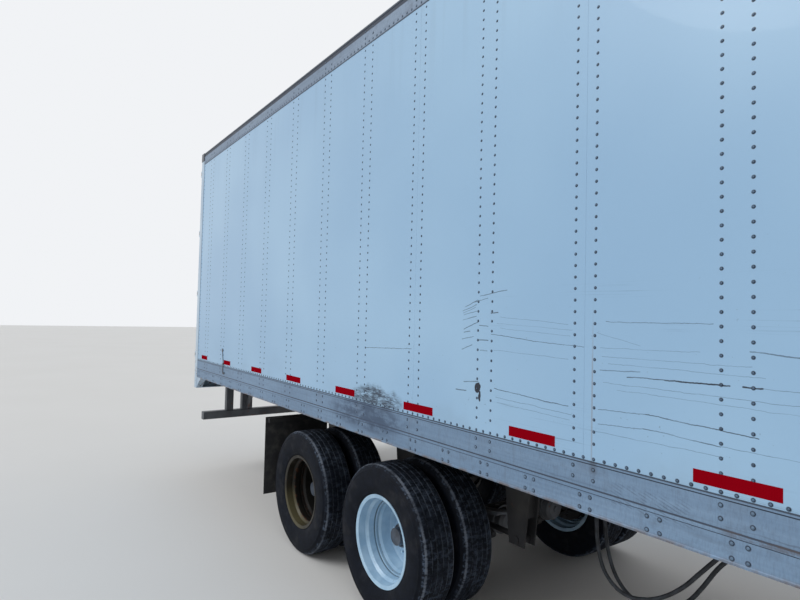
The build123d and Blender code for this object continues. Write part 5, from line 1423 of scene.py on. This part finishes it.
# %% U-bolts and flap bolts
SPRING_Y = 0.511
SPRING_TOP = 0.6635
LEG_X, LEG_Y = 0.0725, 0.0565
U_RADIUS, U_SIDES = 0.008, 10
PLATE_LOW, PLATE_X, PLATE_Y, PLATE_TALL = 0.434, 0.09, 0.074, 0.009
NUT_SIZE = (0.0135, 0.013)
FLAP_STARTS, FLAP_Z, FLAP_COLUMNS = (1.235, -0.695), 1.020, (5, 0.135)

# Half of a U-bolt as (share of the way out, z), from its foot to the middle of its bend
U_HALF = [(1.0, PLATE_LOW - 0.016), (1.0, 0.600), (1.0, 0.655), (0.86, SPRING_TOP + 0.006),
          (0.5, SPRING_TOP + 0.009)]
U_LINE = [(-part, z) for part, z in U_HALF] + U_HALF[::-1]
steel = FINISHES["steel_grey"]
legs, nuts, feet = [], [], []
for x_axle in AXLE_X.values():
    for middle in (-SPRING_Y, SPRING_Y):
        for x in (x_axle - LEG_X, x_axle + LEG_X):
            line = [Vector((x, middle + LEG_Y * part, z)) for part, z in U_LINE]
            tube = swept_tube("u_bolt", line, U_RADIUS, U_SIDES, steel)
            legs.append(tube.data)
            bpy.data.objects.remove(tube)
        start = Vector((x_axle - LEG_X, middle - LEG_Y, PLATE_LOW - NUT_SIZE[1]))
        nuts.append(grid("up", start, NUT_SIZE, (2, 2 * LEG_X), (2, 2 * LEG_Y), 6, 0.9))
        corners = ((-1, -1), (1, -1), (1, 1), (-1, 1))
        foot = [Vector((x_axle + PLATE_X * x, middle + PLATE_Y * y, PLATE_LOW)) for x, y in corners]
        feet.append((foot, Vector((0, 0, PLATE_TALL))))
kept(joined("u_bolts", legs), "tandem")
heads("u_bolt_nuts", "tandem", steel, nuts)
plates("u_bolt_plates", "tandem", steel, feet)

flap_bolts = []
for start in FLAP_STARTS:
    place = Vector((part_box("mud_flaps")[0].x, start, FLAP_Z))
    flap_bolts.append(grid("rear", place, (0.010, 0.005), FLAP_COLUMNS, sides=6, top=0.8))
heads("flap_bolts", "tandem", FINISHES["galvanised"], flap_bolts)

# %% [markdown]
# The studio is plain: a pale floor, one broad soft sun from the camera's side and an even pale sky.
# Together they light a surface to about the colour it was given. The camera, mirrors and glass see a
# near-white backdrop by the Light Path node, while the sky that lights the trailer stays at its own level.

# %% Floor, sky and sun
SKY_STRENGTH = 0.62
BACKDROP = 0.92
SUN_STRENGTH = 1.35
SUN_SPREAD = math.radians(35)
SUN_AIM = Vector((0.25, 0.80, -0.75))
FLOOR_REACH = 90.0


def studio_floor():
    far = FLOOR_REACH
    mesh = bpy.data.meshes.new("floor")
    mesh.from_pydata([(-far, -far, 0), (far, -far, 0), (far, far, 0), (-far, far, 0)], [], [(0, 1, 2, 3)])
    finish = Finish("studio_floor", 0.9)
    finish.ground(finish.speckle(3.0, detail=3), (214, 214, 212), (220, 220, 219))
    linked("floor", mesh, finish.wear())


def studio_sky():
    """Near-white to the camera, mirrors and glass, and plainer as the light on the trailer."""
    world = bpy.data.worlds.new("studio")
    world.use_nodes = True
    sky = Nodes(world.node_tree)
    rays = sky.node("ShaderNodeLightPath").outputs
    seen = Amount(sky, rays["Is Camera Ray"]).most(rays["Is Transmission Ray"]).most(rays["Is Glossy Ray"])
    span = {"Value": seen, "To Min": SKY_STRENGTH, "To Max": BACKDROP}
    level = sky.node("ShaderNodeMapRange", sockets=span)
    back = sky.tree.nodes["Background"].inputs
    sky.feed(back["Color"], tone(250, 252, 255))
    sky.feed(back["Strength"], level.outputs[0])
    bpy.context.scene.world = world


def soft_sun():
    light = bpy.data.lights.new("sun", "SUN")
    light.energy = SUN_STRENGTH
    light.angle = SUN_SPREAD
    sun = linked("sun", light)
    sun.rotation_euler = SUN_AIM.to_track_quat("-Z", "Y").to_euler()
    return sun


studio_floor()
studio_sky()
print("sun", soft_sun().name)
bpy.context.scene.view_settings.view_transform = "Standard"

# %% [markdown]
